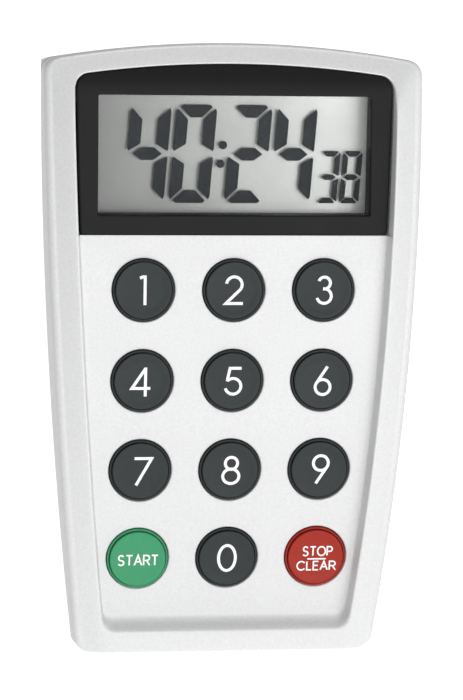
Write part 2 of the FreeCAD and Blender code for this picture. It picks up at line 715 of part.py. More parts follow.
def board_parts():
    """The chip under its blob of resin, the quartz crystal and the chip parts, on the board's back."""
    ball = (s.blob_radius * s.blob_radius + s.blob_height * s.blob_height) / (s.blob_height * 2)
    sphere = doc.addObject("Part::Sphere", "blob_sphere")
    bind(sphere, Radius=ball)
    place(sphere, 0, board_back_y + s.blob_height - ball, s.keypad_middle)
    zone = slab("blob_zone", s.blob_radius * 2, board_back_y, s.blob_height * 2,
                s.keypad_middle - s.blob_radius * 2, s.keypad_middle + s.blob_radius * 2)
    blob = common("ControllerBlob", sphere, zone)
    can = rod("QuartzCrystal", s.crystal_x, board_back_y + s.crystal_radius,
              s.keypad_middle - s.crystal_length / 2, s.crystal_radius, s.crystal_length, "z")
    chip_spots = [(-12, 4), (-12, 0), (-12, -4), (-16, 2), (13, -6), (-10, -12)]
    chips = [block(f"chip_{i}", x, board_back_y, s.keypad_middle + z, s.chip_length, s.chip_height,
                   s.chip_width) for i, (x, z) in enumerate(chip_spots)]
    return [named(blob, "controller_blob"), named(can, "quartz_crystal"),
            named(group("ChipParts", *chips), "chip_parts")]


# ---------------------------------------------------------------- rear housing
cell_y = board_back_y + s.contact_thickness
cover_inner_y = back_y - s.cover_thickness
ledge_y = cover_inner_y - s.ledge_thickness
lug_y = ledge_y - s.cover_gap - s.lug_thickness
neck_bore = s.neck_radius + s.cover_gap
well_radius = s.neck_radius + s.lug_reach + s.cover_gap * 2
pan_y = back_y - s.stand_pan_depth
pan_half = s.stand_half_width + s.stand_gap
pan_low = s.stand_bottom - s.stand_gap
pan_high = s.hinge_z + s.stand_thickness / 2 + s.stand_gap
hinge_y = back_y - s.stand_thickness / 2
piezo_y = back_inner_y - s.buzzer_standoff


def rear_prism(name, inset, depth):
    """The outline drafted towards the back on its sides and top; the bottom edge stays square."""
    owner = body(name)
    drop = depth * tangent(s.rear_draft) + 1
    grow = (s.half_width_top - s.half_width_bottom) / s.shoulder_height * drop
    corners = case_corners(inset, -drop)
    low = s.half_width_bottom - inset - grow
    corners[0] = (-low, -drop)
    corners[1] = (low, -drop, corners[1][2])
    profile = outline(sketch(owner, "XZ_Plane", -parting_y), corners)
    pad(owner, profile, depth, reverse=True, draft=-s.rear_draft)
    return owner


def wedge_ring(name, y, depth, inner, outer, start, sweep):
    """A sector of a ring about the battery's axis. The start angle counts from +X towards +Z."""
    sector = doc.addObject("Part::Cylinder", name + "_sector")
    bind(sector, Radius=outer, Height=depth)
    sector.setExpression("Angle", dim(sweep).text)
    # the sector's own axis runs along -Y, so that its angle grows from +X towards +Z
    spin = FreeCAD.Rotation(FreeCAD.Vector(1, 0, 0), 90)
    turn = FreeCAD.Rotation(FreeCAD.Vector(0, -1, 0), dim(start).value)
    sector.Placement = FreeCAD.Placement(FreeCAD.Vector(), turn.multiply(spin))
    for letter, size in zip("xyz", (dim(0), y + depth, s.battery_z)):
        sector.setExpression(f"Placement.Base.{letter}", size.text)
    return cut(name, sector, rod(name + "_core", 0, y - 1, s.battery_z, inner, depth + 2))


def ring(name, x, y, z, inner, outer, depth):
    hole = rod(name + "_inner", x, y - 1, z, inner, depth + 2)
    return cut(name, rod(name + "_outer", x, y, z, outer, depth), hole)


def rear_housing():
    outer = rear_prism("rear_outer", 0, s.case_depth - s.front_depth)
    back = back_y.value
    dress(outer, "Fillet", lambda e: all(v.Y > back - 0.1 for v in e.Vertexes) and e.CenterOfMass.z > 3
          and e.BoundBox.YLength < 0.1, Radius=s.back_rounding)
    shell = common("rear_shell", outer, outline_block)
    hollow_zone = slab("rear_hollow_zone", s.half_width_top, parting_y - 1, s.case_depth, s.bottom_wall,
                       total_height)
    hollow_depth = s.case_depth - s.front_depth - s.back_wall
    hollow = common("rear_hollow", rear_prism("rear_inner", s.side_wall, hollow_depth), hollow_zone)
    opened = cut("rear_opened", shell, hollow)

    pan_outer = slab("pan_outer", pan_half + s.pan_wall + s.stub_length, pan_y - s.pan_wall,
                     s.stand_pan_depth, pan_low - s.pan_wall, pan_high + s.pan_wall)
    well = rod("well_outer", 0, board_back_y + 0.5, s.battery_z, well_radius + s.well_wall,
               back_inner_y - board_back_y)
    buzzer_cup = rod("buzzer_outer", 0, piezo_y - s.buzzer_ledge, s.buzzer_z, s.brass_radius + s.buzzer_wall,
                     s.buzzer_ledge + s.buzzer_standoff + 0.2)
    cup_y = back_y - s.magnet_thickness - s.magnet_gap - s.magnet_cup_wall
    cups = posts("magnet_cup", [(s.magnet_x, s.magnet_z)], cup_y, s.magnet_radius + s.magnet_cup_wall,
                 s.magnet_thickness)
    bosses = posts("rear_boss", case_screws, parting_y, s.rear_boss_radius, s.case_depth - s.front_depth)
    added = common("rear_added", fuse("rear_inside", pan_outer, well, buzzer_cup, *cups, *bosses), shell)
    whole = fuse("rear_whole", opened, added)

    tools = [
        slab("pan", pan_half, pan_y, s.stand_pan_depth + 1, pan_low, pan_high),
        slab("finger_notch", s.finger_half_width, back_y - s.finger_depth, s.finger_depth + 1,
             pan_low - s.finger_height, pan_low + 1),
        rod("well", 0, board_back_y - 1, s.battery_z, well_radius, ledge_y - board_back_y + 1),
        rod("well_neck", 0, ledge_y - 1, s.battery_z, neck_bore, s.case_depth),
        rod("cover_recess", 0, cover_inner_y, s.battery_z, s.cover_radius + s.cover_gap, s.case_depth),
        rod("buzzer_seat", 0, piezo_y - s.buzzer_ledge - 1, s.buzzer_z, s.brass_radius + s.buzzer_gap,
            s.buzzer_ledge + 1),
        rod("buzzer_air", 0, piezo_y - 1, s.buzzer_z, s.brass_radius - s.buzzer_ledge, s.buzzer_standoff + 1),
    ]
    hole_y = back_inner_y - 1
    spots = [(0, 0)] + [(math.cos(math.radians(a)), math.sin(math.radians(a))) for a in range(30, 390, 60)]
    for i, (across, up) in enumerate(spots):
        tools.append(rod(f"sound_hole_{i}", s.sound_ring_radius * round(across, 6), hole_y,
                         s.buzzer_z + s.sound_ring_radius * round(up, 6), s.sound_hole_radius,
                         s.case_depth / 2))
    for i in range(2):
        tools.append(wedge_ring(f"lug_notch_{i}", ledge_y - 0.5, s.ledge_thickness + 1, s.neck_radius - 0.5,
                                s.neck_radius + s.lug_reach + s.cover_gap,
                                180 * i - s.lug_angle.value / 2 - 3 - s.cover_turn.value, s.lug_angle + 6))
    stub_hole = s.stub_radius + s.stub_gap
    tools.append(rod("stub_holes", -pan_half - s.stub_length - s.stub_gap, hinge_y, s.hinge_z, stub_hole,
                     (pan_half + s.stub_length + s.stub_gap) * 2, "x"))
    tools += posts("magnet_pocket", [(s.magnet_x, s.magnet_z)], back_y - s.magnet_thickness - s.magnet_gap,
                   s.magnet_radius + s.magnet_gap, s.magnet_thickness + 1)
    tools += posts("head_well", case_screws, screw_seat_y, s.head_radius + s.head_gap, s.case_depth)
    tools += posts("shank_hole", case_screws, parting_y - 1, s.screw_radius + s.head_gap, s.seat_height + 2)
    return named(cut("RearHousing", whole, *tools), "rear_housing")


def battery_cover():
    """A coin-slot cover: disc, neck with two lugs under the housing's ledge."""
    plate = rod("cover_plate", 0, cover_inner_y + s.cover_gap / 2, s.battery_z, s.cover_radius,
                s.cover_thickness - s.cover_gap / 2)
    neck_inner = s.cell_radius + s.contact_thickness + s.well_gap
    neck = ring("cover_neck", 0, lug_y, s.battery_z, neck_inner, s.neck_radius,
                cover_inner_y - lug_y + s.cover_gap)
    lugs = [wedge_ring(f"cover_lug_{i}", lug_y, s.lug_thickness, s.neck_radius - 0.4,
                       s.neck_radius + s.lug_reach, 180 * i - s.lug_angle.value / 2, s.lug_angle)
            for i in range(2)]
    slot = block("coin_slot", -s.coin_slot_length / 2, back_y - s.coin_slot_depth,
                 s.battery_z - s.coin_slot_width / 2, s.coin_slot_length, s.coin_slot_depth * 2,
                 s.coin_slot_width)
    return named(cut("BatteryCover", fuse("cover_solid", plate, neck, *lugs), slot), "battery_cover")


def battery():
    cell = rod("ButtonCell", 0, cell_y, s.battery_z, s.cell_radius, s.cell_thickness)
    base = rod("ContactNegative", 0, board_back_y, s.battery_z, s.cell_radius * 0.6, s.contact_thickness)
    x = s.cell_radius + s.blade_gap
    low = s.battery_z - s.blade_width / 2
    blade = block("contact_blade", x, board_back_y, low, s.contact_thickness, s.cell_thickness * 0.45,
                  s.blade_width)
    foot = block("contact_foot", x, board_back_y, low, s.contact_thickness * 4, s.contact_thickness,
                 s.blade_width)
    return [named(cell, "button_cell"), named(base, "contact_negative"),
            named(fuse("ContactPositive", blade, foot), "contact_positive")]


def lead(name, sign):
    """A buzzer lead: off the board, up behind it, and onto the disc."""
    start = (s.lead_x.value * sign, board_back_y.value, (s.buzzer_z - s.lead_start).value)
    height = (board_back_y + s.lead_rise).value
    disc_y = (piezo_y - s.brass_thickness).value
    reach = (s.buzzer_z - s.brass_joint).value
    if sign < 0:
        disc_y -= s.ceramic_thickness.value
        reach = (s.buzzer_z - s.ceramic_joint).value
    points = [start, (start[0], height, start[2]), (start[0], height, reach), (start[0], disc_y, reach)]
    spine = rounded_path(points, [min(s.lead_bend.value, (disc_y - height) * 0.8)] * 2)
    profile = Part.Wire(Part.makeCircle(s.lead_radius.value, FreeCAD.Vector(*start), FreeCAD.Vector(0, 1, 0)))
    item = doc.addObject("Part::Feature", name)
    item.Shape = spine.makePipeShell([profile], True, False)
    return named(item, name)


def rounded_path(points, radii):
    """Straight runs joined by tangent arcs."""
    points = [FreeCAD.Vector(*p) for p in points]
    edges = []
    last = points[0]
    for i in range(1, len(points) - 1):
        before = points[i - 1] - points[i]
        after = points[i + 1] - points[i]
        before.normalize()
        after.normalize()
        turn = math.pi - before.getAngle(after)
        radius = radii[i - 1]
        trim = radius * math.tan(turn / 2)
        begin = points[i] + before * trim
        finish = points[i] + after * trim
        bisector = before + after
        bisector.normalize()
        middle = points[i] + bisector * (radius / math.cos(turn / 2) - radius)
        edges.append(Part.LineSegment(last, begin).toShape())
        edges.append(Part.Arc(begin, middle, finish).toShape())
        last = finish
    edges.append(Part.LineSegment(last, points[-1]).toShape())
    return Part.Wire(edges)


def buzzer():
    brass_y = piezo_y - s.brass_thickness
    brass = rod("BuzzerDisc", 0, brass_y, s.buzzer_z, s.brass_radius, s.brass_thickness)
    ceramic = rod("BuzzerCeramic", 0, brass_y - s.ceramic_thickness, s.buzzer_z, s.ceramic_radius,
                  s.ceramic_thickness)
    return [named(brass, "buzzer_disc"), named(ceramic, "buzzer_ceramic"), lead("buzzer_lead_red", 1),
            lead("buzzer_lead_black", -1)]


def stand():
    """The fold-out stand: a flap with a rounded hinge end, two stub pins and grip grooves."""
    owner = body("StandFlap")
    low, high = s.stand_bottom, s.hinge_z
    half = s.stand_half_width
    item = sketch(owner, "XZ_Plane", -(back_y - s.stand_thickness))
    outline(item, [(-half, low), (half, low), (half, high), (-half, high)])
    pad(owner, item, s.stand_thickness, reverse=True)
    bottom = low.value + 1
    dress(owner, "Fillet", lambda e: runs_along(e, 1) and e.Vertexes[0].Z < bottom, Radius=s.stand_corner)
    grooves = [rod(f"grip_{i}", -s.finger_half_width, back_y + s.groove_radius / 3,
                   low + s.groove_pitch * (i + 1), s.groove_radius, s.finger_half_width * 2, "x")
               for i in range(4)]
    barrel = rod("stand_barrel", -half, hinge_y, high, s.stand_thickness / 2, half * 2, "x")
    stub_reach = half + s.stand_gap + s.stub_length
    stubs = rod("stand_stubs", -stub_reach, hinge_y, high, s.stub_radius, stub_reach * 2, "x")
    return named(cut("Stand", fuse("stand_solid", owner, barrel, stubs), *grooves), "stand")


def magnets():
    made = []
    for side, sign in (("right", 1), ("left", -1)):
        magnet = rod(f"Magnet_{side}", s.magnet_x * sign, back_y - s.magnet_thickness - s.magnet_gap / 2,
                     s.magnet_z, s.magnet_radius, s.magnet_thickness)
        made.append(named(magnet, f"magnet_{side}"))
    return made


# ---------------------------------------------------------------- the whole timer
nodes = [front_housing(), display_bezel(), display_window()] + lcd_parts()
nodes += [key(spot) for spot in key_spots()]
nodes += [keypad_mat(), circuit_board()] + board_parts()
nodes += [screw_set("board_screws", board_screws, board_back_y, s.case_screw_length - s.board_thickness)]
nodes += [rear_housing(), battery_cover()] + battery() + buzzer()
nodes += [stand()] + magnets()
nodes += [screw_set("case_screws", case_screws, screw_seat_y, s.case_screw_length)]
doc.recompute()

failed = [item.Name for item in doc.Objects if {"Invalid", "Error"} & set(item.State)]
if failed:
    raise RuntimeError(f"features that failed: {failed}")
for item in nodes:
    if item.Shape.isNull() or not item.Shape.isValid() or not item.Shape.Solids:
        raise RuntimeError(f"{item.Label} has no valid solid")

os.makedirs("parts", exist_ok=True)
for item in nodes:
    item.Shape.exportStep(f"parts/{item.Label}.step")
    print(f"{item.Label}: {len(item.Shape.Solids)} solid, {item.Shape.Volume:.1f} mm3")
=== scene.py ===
import json
import math
import bpy
import bmesh
import numpy as np
from mathutils import Matrix, Vector


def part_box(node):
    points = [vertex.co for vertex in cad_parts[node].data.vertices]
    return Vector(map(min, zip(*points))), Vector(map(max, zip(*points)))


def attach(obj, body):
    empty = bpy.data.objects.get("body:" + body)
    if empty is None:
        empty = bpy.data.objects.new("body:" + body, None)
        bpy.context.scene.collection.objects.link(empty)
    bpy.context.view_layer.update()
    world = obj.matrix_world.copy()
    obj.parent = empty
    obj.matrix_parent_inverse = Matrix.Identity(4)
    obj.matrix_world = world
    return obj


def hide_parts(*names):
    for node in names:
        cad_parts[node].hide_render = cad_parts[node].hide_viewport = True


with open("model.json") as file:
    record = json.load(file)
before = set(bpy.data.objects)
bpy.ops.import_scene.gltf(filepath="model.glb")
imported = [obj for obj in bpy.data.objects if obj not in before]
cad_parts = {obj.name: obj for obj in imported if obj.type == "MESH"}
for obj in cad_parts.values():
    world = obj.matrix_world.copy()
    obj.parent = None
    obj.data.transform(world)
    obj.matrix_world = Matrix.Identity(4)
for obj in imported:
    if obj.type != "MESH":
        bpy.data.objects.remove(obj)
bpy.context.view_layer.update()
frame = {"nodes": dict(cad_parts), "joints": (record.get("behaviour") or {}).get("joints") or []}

print("timer: frame loaded,", len(frame["nodes"]), "nodes")

mm = 0.001
nodes = frame["nodes"]
scene = bpy.context.scene
keyNames = ["key_1", "key_2", "key_3", "key_4", "key_5", "key_6", "key_7", "key_8", "key_9",
            "key_start", "key_0", "key_stop_clear"]

# the case's shared curves, in millimetres

caseShape = {
    "frontY": -9.75,          # foremost point of the rim
    "crownRadius": 330.0,     # bow of the rim from bottom to top
    "crownZ": 56.0,           # height where the bow is foremost
    "recess": 2.9,            # panel below the rim
    "halfBottom": 27.3, "halfTop": 34.5, "halfBelly": 1.56,
    "shoulderZ": 107.45, "topArc": 3.05,
    "browFootZ": 99.3, "browTopY": -1.75, "topZ": 110.5,
    "dropBottom": 1.14, "dropTop": 2.15,   # fall of the rim's facet outwards
    "facetWidth": 3.75, "rimWidth": 5.2,
    "creaseSoft": 0.15, "browSoft": 0.5,   # width of the turns into the facet and into the brow
    "draft": 10,              # of the recess's walls, in degrees
    "middleZ": 50.0,          # between the rules for the upper and the lower corners
    "partingY": 1.0,
}
case = caseShape
crownY = case["frontY"] + case["crownRadius"]
panelRadius = case["crownRadius"] - case["recess"]


def halfWidth(z):
    # half the case's width: a straight taper plus a parabola that is widest at mid height
    t = z / case["shoulderZ"]
    taper = case["halfBottom"] + (case["halfTop"] - case["halfBottom"]) * t
    return taper + 4 * case["halfBelly"] * t * (1 - t)


def outerTop(x):
    # the case's top edge: a parabola that falls to the shoulders
    return case["shoulderZ"] + case["topArc"] * (1 - (x / case["halfTop"]) ** 2)


def bow(z, radius):
    # y on a circle of the given radius about the crown's centre
    return crownY - np.sqrt(radius ** 2 - (z - case["crownZ"]) ** 2)


def softMax(a, b, width):
    # the larger of two values, with a smooth turn about width wide where they cross
    return 0.5 * (a + b + np.sqrt((a - b) ** 2 + width ** 2))


def brow(z):
    # the plane that leans back from its foot on the crown to the top of the rim
    foot = bow(case["browFootZ"], case["crownRadius"])
    rise = case["topZ"] - case["browFootZ"]
    return foot + (case["browTopY"] - foot) * (z - case["browFootZ"]) / rise


def rimHeight(x, z):
    # y of the rim's front: the crown, falling away outside the lip, cut back by the brow at the top
    crown = bow(z, case["crownRadius"])
    drop = case["dropBottom"] + (case["dropTop"] - case["dropBottom"]) * z / case["shoulderZ"]
    outside = (np.abs(x) - (halfWidth(z) - case["rimWidth"])) / case["facetWidth"]
    facet = softMax(crown, crown + drop * outside, case["creaseSoft"])
    return softMax(facet, brow(z), case["browSoft"])


# mesh helpers

def smoothed(work, angle):
    # smooth shading, except at open edges and where faces meet at more than the angle
    for face in work.faces:
        face.smooth = True
    for edge in work.edges:
        edge.smooth = len(edge.link_faces) == 2 and edge.calc_face_angle(0) <= math.radians(angle)


def addPiece(name, mesh, body):
    # an object for a mesh, riding on a body
    piece = bpy.data.objects.new(name, mesh)
    scene.collection.objects.link(piece)
    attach(piece, body)
    return piece


def makePiece(name, points, faces, body, smoothAngle=40):
    # points in millimetres, faces as a list of index arrays; doubles merged and normals left as built
    mesh = bpy.data.meshes.new(name)
    loops = [corners for group in faces for corners in np.asarray(group).tolist()]
    mesh.from_pydata((np.asarray(points) * mm).tolist(), [], loops)
    work = bmesh.new()
    work.from_mesh(mesh)
    bmesh.ops.remove_doubles(work, verts=work.verts, dist=2e-7)
    bmesh.ops.dissolve_degenerate(work, edges=work.edges, dist=1e-8)
    smoothed(work, smoothAngle)
    work.to_mesh(mesh)
    work.free()
    return addPiece(name, mesh, body)


def thicken(piece, wall):
    # gives a surface a wall behind it
    solid = piece.modifiers.new("wall", "SOLIDIFY")
    solid.thickness, solid.offset = wall * mm, -1


def gridFaces(rows, columns, closed=False, start=0):
    # quads of a rows by columns grid of points; closed joins the last column to the first
    i, j = np.meshgrid(np.arange(rows - 1), np.arange(columns if closed else columns - 1), indexing="ij")
    k = (j + 1) % columns
    corner = lambda a, b: start + a * columns + b
    return np.stack([corner(i, j), corner(i, k), corner(i + 1, k), corner(i + 1, j)], -1).reshape(-1, 4)


def onRays(origin, direction, inside, reach=60.0, halvings=44):
    # the point of each ray where inside(x, z) changes sign, by halving the interval
    low, high = np.zeros(len(origin)), np.full(len(origin), reach)
    for _ in range(halvings):
        middle = (low + high) / 2
        within = inside(*(origin + direction * middle[:, None]).T) > 0
        low, high = np.where(within, middle, low), np.where(within, high, middle)
    return origin + direction * ((low + high) / 2)[:, None]


def rounded(a, b, radius):
    # distance inside two edges whose corner is rounded
    corner = radius - np.sqrt(np.maximum(radius - a, 0) ** 2 + np.maximum(radius - b, 0) ** 2)
    return np.where((a < radius) & (b < radius), corner, np.minimum(a, b))


def bend(start, corner, end, count):
    # a quadratic curve from start to end that leaves and arrives along the lines through corner
    return [start * (1 - t) ** 2 + corner * 2 * t * (1 - t) + end * t ** 2 for t in np.linspace(0, 1, count)]


mirror = np.array([-1, 1, -1, 1])


def rays(x, z, wayX, wayZ):
    # rays as rows of start and way, from numbers or rows of numbers
    return np.stack(np.broadcast_arrays(*(np.asarray(v, float) for v in (x, z, wayX, wayZ))), -1)


# front housing

shell = {
    "sideBead": 1.45, "topBead": 0.5, "bottomBead": 0.5, "beadRise": 0.85, "beadFoot": 0.3,
    "footInset": 5.71, "topApex": 107.0, "topArcRadius": 198.0,
    "bottomLip": 4.24, "bottomFoot": 5.9, "footTop": 0.25,
    "landing": 0.35, "landingLow": 1.2, "landingTop": 0.6,   # of the foot's turn into the panel
    "bezelZ": 76.4, "seatDepth": 2.9, "seatStep": 0.05,
    "rowEdges": [11.1, 25.6, 42.0, 58.4, 76.4], "columnEdges": [-8.2, 8.2],
    "cellOutBottom": 22.3, "cellOutTop": 24.8,
    "cellSteps": 24, "cornerSteps": 24, "bottomSteps": 28, "sideSteps": 2, "topSteps": 56,
    "upperSteps": 30, "stripSteps": 4, "facetShares": (0.04, 0.3, 0.6, 0.88),
    "holeRadius": 5.75, "holeRounding": 0.28, "panelWall": 1.7, "wall": 0.7,
    "edgeRun": 0.42, "rampSoft": 0.85, "pivotTop": (26.9, 103.6), "pivotBottom": (20.4, 7.3),
}


def loopRays():
    # rays that sample every outline of the shell at matching places, anticlockwise from the right side's foot
    pivotX, pivotZ = shell["pivotTop"]
    footX, footZ = shell["pivotBottom"]
    steps = shell["cellSteps"]
    rows = [np.linspace(a, b, steps + 1)[:-1] for a, b in zip(shell["rowEdges"][:-1], shell["rowEdges"][1:])]
    rightZ = np.concatenate(rows + [[shell["bezelZ"], shell["bezelZ"] + shell["seatStep"]],
                                    np.linspace(shell["bezelZ"], pivotZ, shell["upperSteps"] + 1)[1:-1]])
    angle = np.linspace(0, math.pi / 2, shell["cornerSteps"] + 1)
    topX = np.linspace(pivotX, -pivotX, shell["topSteps"] + 1)[1:-1]
    lowZ = np.linspace(shell["rowEdges"][0], footZ, shell["sideSteps"] + 1)[1:-1]
    lowX = np.linspace(-footX, footX, shell["bottomSteps"] + 1)[1:-1]
    side, lowSide = rays(0, rightZ, 1, 0), rays(0, lowZ, 1, 0)
    corner = rays(pivotX, pivotZ, np.cos(angle), np.sin(angle))
    lowCorner = rays(footX, footZ, np.cos(angle), -np.sin(angle))
    top, low = rays(topX, pivotZ, 0, 1), rays(lowX, footZ, 0, -1)
    loop = np.concatenate([side, corner, top, (corner * mirror)[::-1], (side * mirror)[::-1],
                           lowSide * mirror, lowCorner * mirror, low, lowCorner[::-1], lowSide[::-1]])
    return loop[:, :2], loop[:, 2:], len(side)


rayStart, rayWay, sideCount = loopRays()


def station(sideInset, topInset=None, bottomZ=0.0, cornerTop=2.3, cornerBottom=2.6, topEdge=None):
    # a closed outline inside the case: inset from the sides, under a top edge, above a bottom line
    edge = topEdge if topEdge is not None else (lambda x: outerTop(x) - topInset)

    def inside(x, z):
        inset = sideInset(z) if callable(sideInset) else sideInset
        side = halfWidth(z) - inset - np.abs(x)
        upper = rounded(side, edge(x) - z, cornerTop)
        return np.where(z > case["middleZ"], upper, rounded(side, z - bottomZ, cornerBottom))
    return onRays(rayStart, rayWay, inside)


def lipTop(x):
    # the recess's top edge: an arc that is highest in the middle
    return shell["topApex"] - x ** 2 / (2 * shell["topArcRadius"])


def withY(flat, y):
    # joins x, z pairs with their y
    return np.stack([flat[:, 0], y, flat[:, 1]], -1)


def wallInset(z, y):
    # how far the recess's drafted wall stands inside the outline where it reaches depth y
    slope = math.tan(math.radians(case["draft"]))
    return case["rimWidth"] + slope * np.maximum(y - bow(z, case["crownRadius"]), 0)


def buildShell():
    # rim, bead, facet, lip, ramp and foot as one run of outlines, then the bowed panel with twelve key holes
    outline = station(0, 0, 0)
    crease = station(shell["sideBead"], shell["topBead"], shell["bottomBead"], 1.8, 2.1)
    lip = station(lambda z: wallInset(z, rimHeight(0 * z, z)), None, shell["bottomLip"], 2.3, 2.4, lipTop)
    foot = station(shell["footInset"], None, shell["bottomFoot"], 2.0, 1.7,
                   lambda x: lipTop(x) - shell["footTop"])
    landing = station(shell["footInset"] + shell["landing"], None, shell["bottomFoot"] + shell["landingLow"],
                      1.7, 1.4, lambda x: lipTop(x) - shell["landingTop"])
    creaseY = rimHeight(crease[:, 0], crease[:, 1])
    beadWidth = np.hypot(*(outline - crease).T)
    rings = [withY(outline, np.full(len(outline), case["partingY"]))]
    rings.append(withY(outline, creaseY + beadWidth + shell["beadFoot"]))
    for angle in np.linspace(0, math.pi / 2, 9):
        across = outline + (crease - outline) * (1 - math.cos(angle))
        rings.append(withY(across, creaseY + beadWidth * shell["beadRise"] * (1 - math.sin(angle))))
    # facet from the crease to just before the lip
    for share in shell["facetShares"]:
        across = crease + (lip - crease) * share
        rings.append(withY(across, rimHeight(*across.T)))
    beforeLip = rings[-1]
    lipY = rimHeight(*lip.T)
    deep = foot[:, 1] > shell["bezelZ"] + shell["seatStep"] / 2
    floorY = bow(foot[:, 1], panelRadius) + np.where(deep, shell["seatDepth"], 0)
    lipPoint, footPoint = withY(lip, lipY), withY(foot, floorY)
    wall = footPoint - lipPoint
    run = shell["edgeRun"] + shell["rampSoft"] * np.maximum(-rayWay[:, 1], 0) ** 2
    turn = (run / wall[:, 1])[:, None]
    rings += bend(beforeLip, lipPoint, lipPoint + wall * turn, 6)[1:]
    rings.append(lipPoint + wall * 0.5)
    landingY = bow(landing[:, 1], panelRadius) + np.where(deep, shell["seatDepth"], 0)
    rings += bend(lipPoint + wall * (1 - turn), footPoint, withY(landing, landingY), 5)
    count = len(outline)
    points = [np.concatenate(rings)]
    faces = [gridFaces(len(rings), count, True)]
    total = len(rings) * count

    def add(block, quads):
        nonlocal total
        points.append(block)
        faces.append(quads + total)
        total += len(block)

    # side strips of the panel between the key cells and the foot, one each side
    panelRows = 4 * shell["cellSteps"] + 1
    cellZ = rayStart[:panelRows, 1]
    share = (cellZ - cellZ[0]) / (cellZ[-1] - cellZ[0])
    cellOut = shell["cellOutBottom"] + (shell["cellOutTop"] - shell["cellOutBottom"]) * share
    stripSteps = shell["stripSteps"]
    for sign in (1, -1):
        edge = landing[:panelRows, 0]
        columns = [(edge + (cellOut - edge) * k / stripSteps) * sign for k in range(stripSteps + 1)]
        x = np.stack(columns, 0)
        z = np.broadcast_to(cellZ, x.shape)
        block = np.stack([x, bow(z, panelRadius), z], -1).reshape(-1, 3)
        quads = gridFaces(stripSteps + 1, panelRows)
        add(block, quads if sign > 0 else quads[:, ::-1])
    # twelve cells, each a ring of quads between its four straight edges and its hole
    steps = shell["cellSteps"]
    outAt = lambda z: np.interp(z, [cellZ[0], cellZ[-1]], [shell["cellOutBottom"], shell["cellOutTop"]])
    sides = [lambda z: -outAt(z)] + [lambda z, x=x: x + 0 * z for x in shell["columnEdges"]] + [outAt]
    for row in range(4):
        low, high = shell["rowEdges"][3 - row], shell["rowEdges"][4 - row]
        for column, (left, right) in enumerate(zip(sides[:-1], sides[1:])):
            run = np.linspace(0, 1, steps + 1)[:-1]
            up = low + (high - low) * run
            down = up[::-1] + (high - low) / steps
            bottomX = left(low) + (right(low) - left(low)) * run
            topX = right(high) + (left(high) - right(high)) * run
            border = np.concatenate([np.c_[bottomX, np.full(steps, low)], np.c_[right(up), up],
                                     np.c_[topX, np.full(steps, high)], np.c_[left(down), down]])
            addCell(add, border, keyNames[row * 3 + column])
    # bottom of the panel: ruled from the foot to the lowest cells' edge
    first = 2 * sideCount + 2 * (shell["cornerSteps"] + 1) + shell["topSteps"] - 1
    belt = np.concatenate([landing[first - 1:], landing[:1]])
    knots = [-cellOut[0], *shell["columnEdges"], cellOut[0]]
    cut = [np.linspace(-belt[-1, 0], -cellOut[0], stripSteps + 1)[:-1]]
    cut += [np.linspace(a, b, steps + 1)[:-1] for a, b in zip(knots[:-1], knots[1:])]
    cut += [np.linspace(cellOut[0], belt[-1, 0], stripSteps + 1)]
    line = np.concatenate(cut)
    target = np.c_[line, np.full(len(line), shell["rowEdges"][0])]
    z = np.stack([belt + (target - belt) * t for t in (0, 0.35, 0.7, 1)])
    block = np.stack([z[..., 0], bow(z[..., 1], panelRadius), z[..., 1]], -1).reshape(-1, 3)
    add(block, gridFaces(4, len(line)))
    piece = makePiece("front_shell", np.concatenate(points), faces, "case")
    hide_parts("front_housing")
    thicken(piece, shell["wall"])
    return piece


def keyFrame(name):
    # centre of a key on the panel, its way up and its way out, from the joint that moves it
    joint = next(j for j in frame["joints"] if j["child"] == name + "_button")
    out = -np.array(joint["axis"])
    return np.array(joint["pos_m"]) / mm, np.array([0, out[2], -out[1]]), out


def addCell(add, border, name):
    # the panel round one key: straight lines to the hole, its rounded edge, and the hole's wall
    centre, up, out = keyFrame(name)
    flat = border - centre[[0, 2]]
    angle = np.arctan2(flat[:, 1], flat[:, 0])
    radius, edge = shell["holeRadius"], shell["holeRounding"]
    circle = lambda r, h: (centre + r * (np.cos(angle)[:, None] * np.array([1, 0, 0])
                                         + np.sin(angle)[:, None] * up) + out * h)
    rim = circle(radius + edge, 0.0)
    rim[:, 1] = bow(rim[:, 2], panelRadius)
    rings = []
    for t in (0, 0.3, 0.6, 0.82, 1):
        x, z = (border + (rim[:, [0, 2]] - border) * t).T
        rings.append(np.stack([x, bow(z, panelRadius), z], -1))
    for a in np.linspace(0, math.pi / 2, 5)[1:]:
        rings.append(circle(radius + edge * (1 - math.sin(a)), -edge * (1 - math.cos(a))))
    rings.append(circle(radius, -shell["panelWall"]))
    add(np.concatenate(rings), gridFaces(len(rings), len(border), True))


frontShell = buildShell()
print("timer: front shell", len(frontShell.data.polygons), "faces")

# display bezel

bezel = {
    "gap": 0.22, "topGap": 0.22, "bottomZ": 76.5, "proud": 0.4, "tilt": 4.16, "edge": 0.3,
    "windowHalf": 24.75, "windowLow": 80.0, "windowHigh": 101.36, "windowEdge": 0.22,
    "windowBackY": -1.5, "cornerTop": 2.2, "cornerBottom": 0.5, "skirt": 2.2, "browGap": 0.25,
    "pivot": (24.3, 100.9), "pivotLowZ": 80.5, "cornerSteps": 20, "sideSteps": 30, "topSteps": 56,
    "middleZ": 90.0, "windowCorner": 0.3, "wall": 0.6,
}


def bezelFace(z):
    # the face leans back from the panel's level, and follows the brow above where they meet
    foot = bow(bezel["bottomZ"], panelRadius) - bezel["proud"]
    plane = foot + (z - bezel["bottomZ"]) * math.tan(math.radians(bezel["tilt"]))
    return softMax(plane, brow(z) + bezel["browGap"], case["browSoft"])


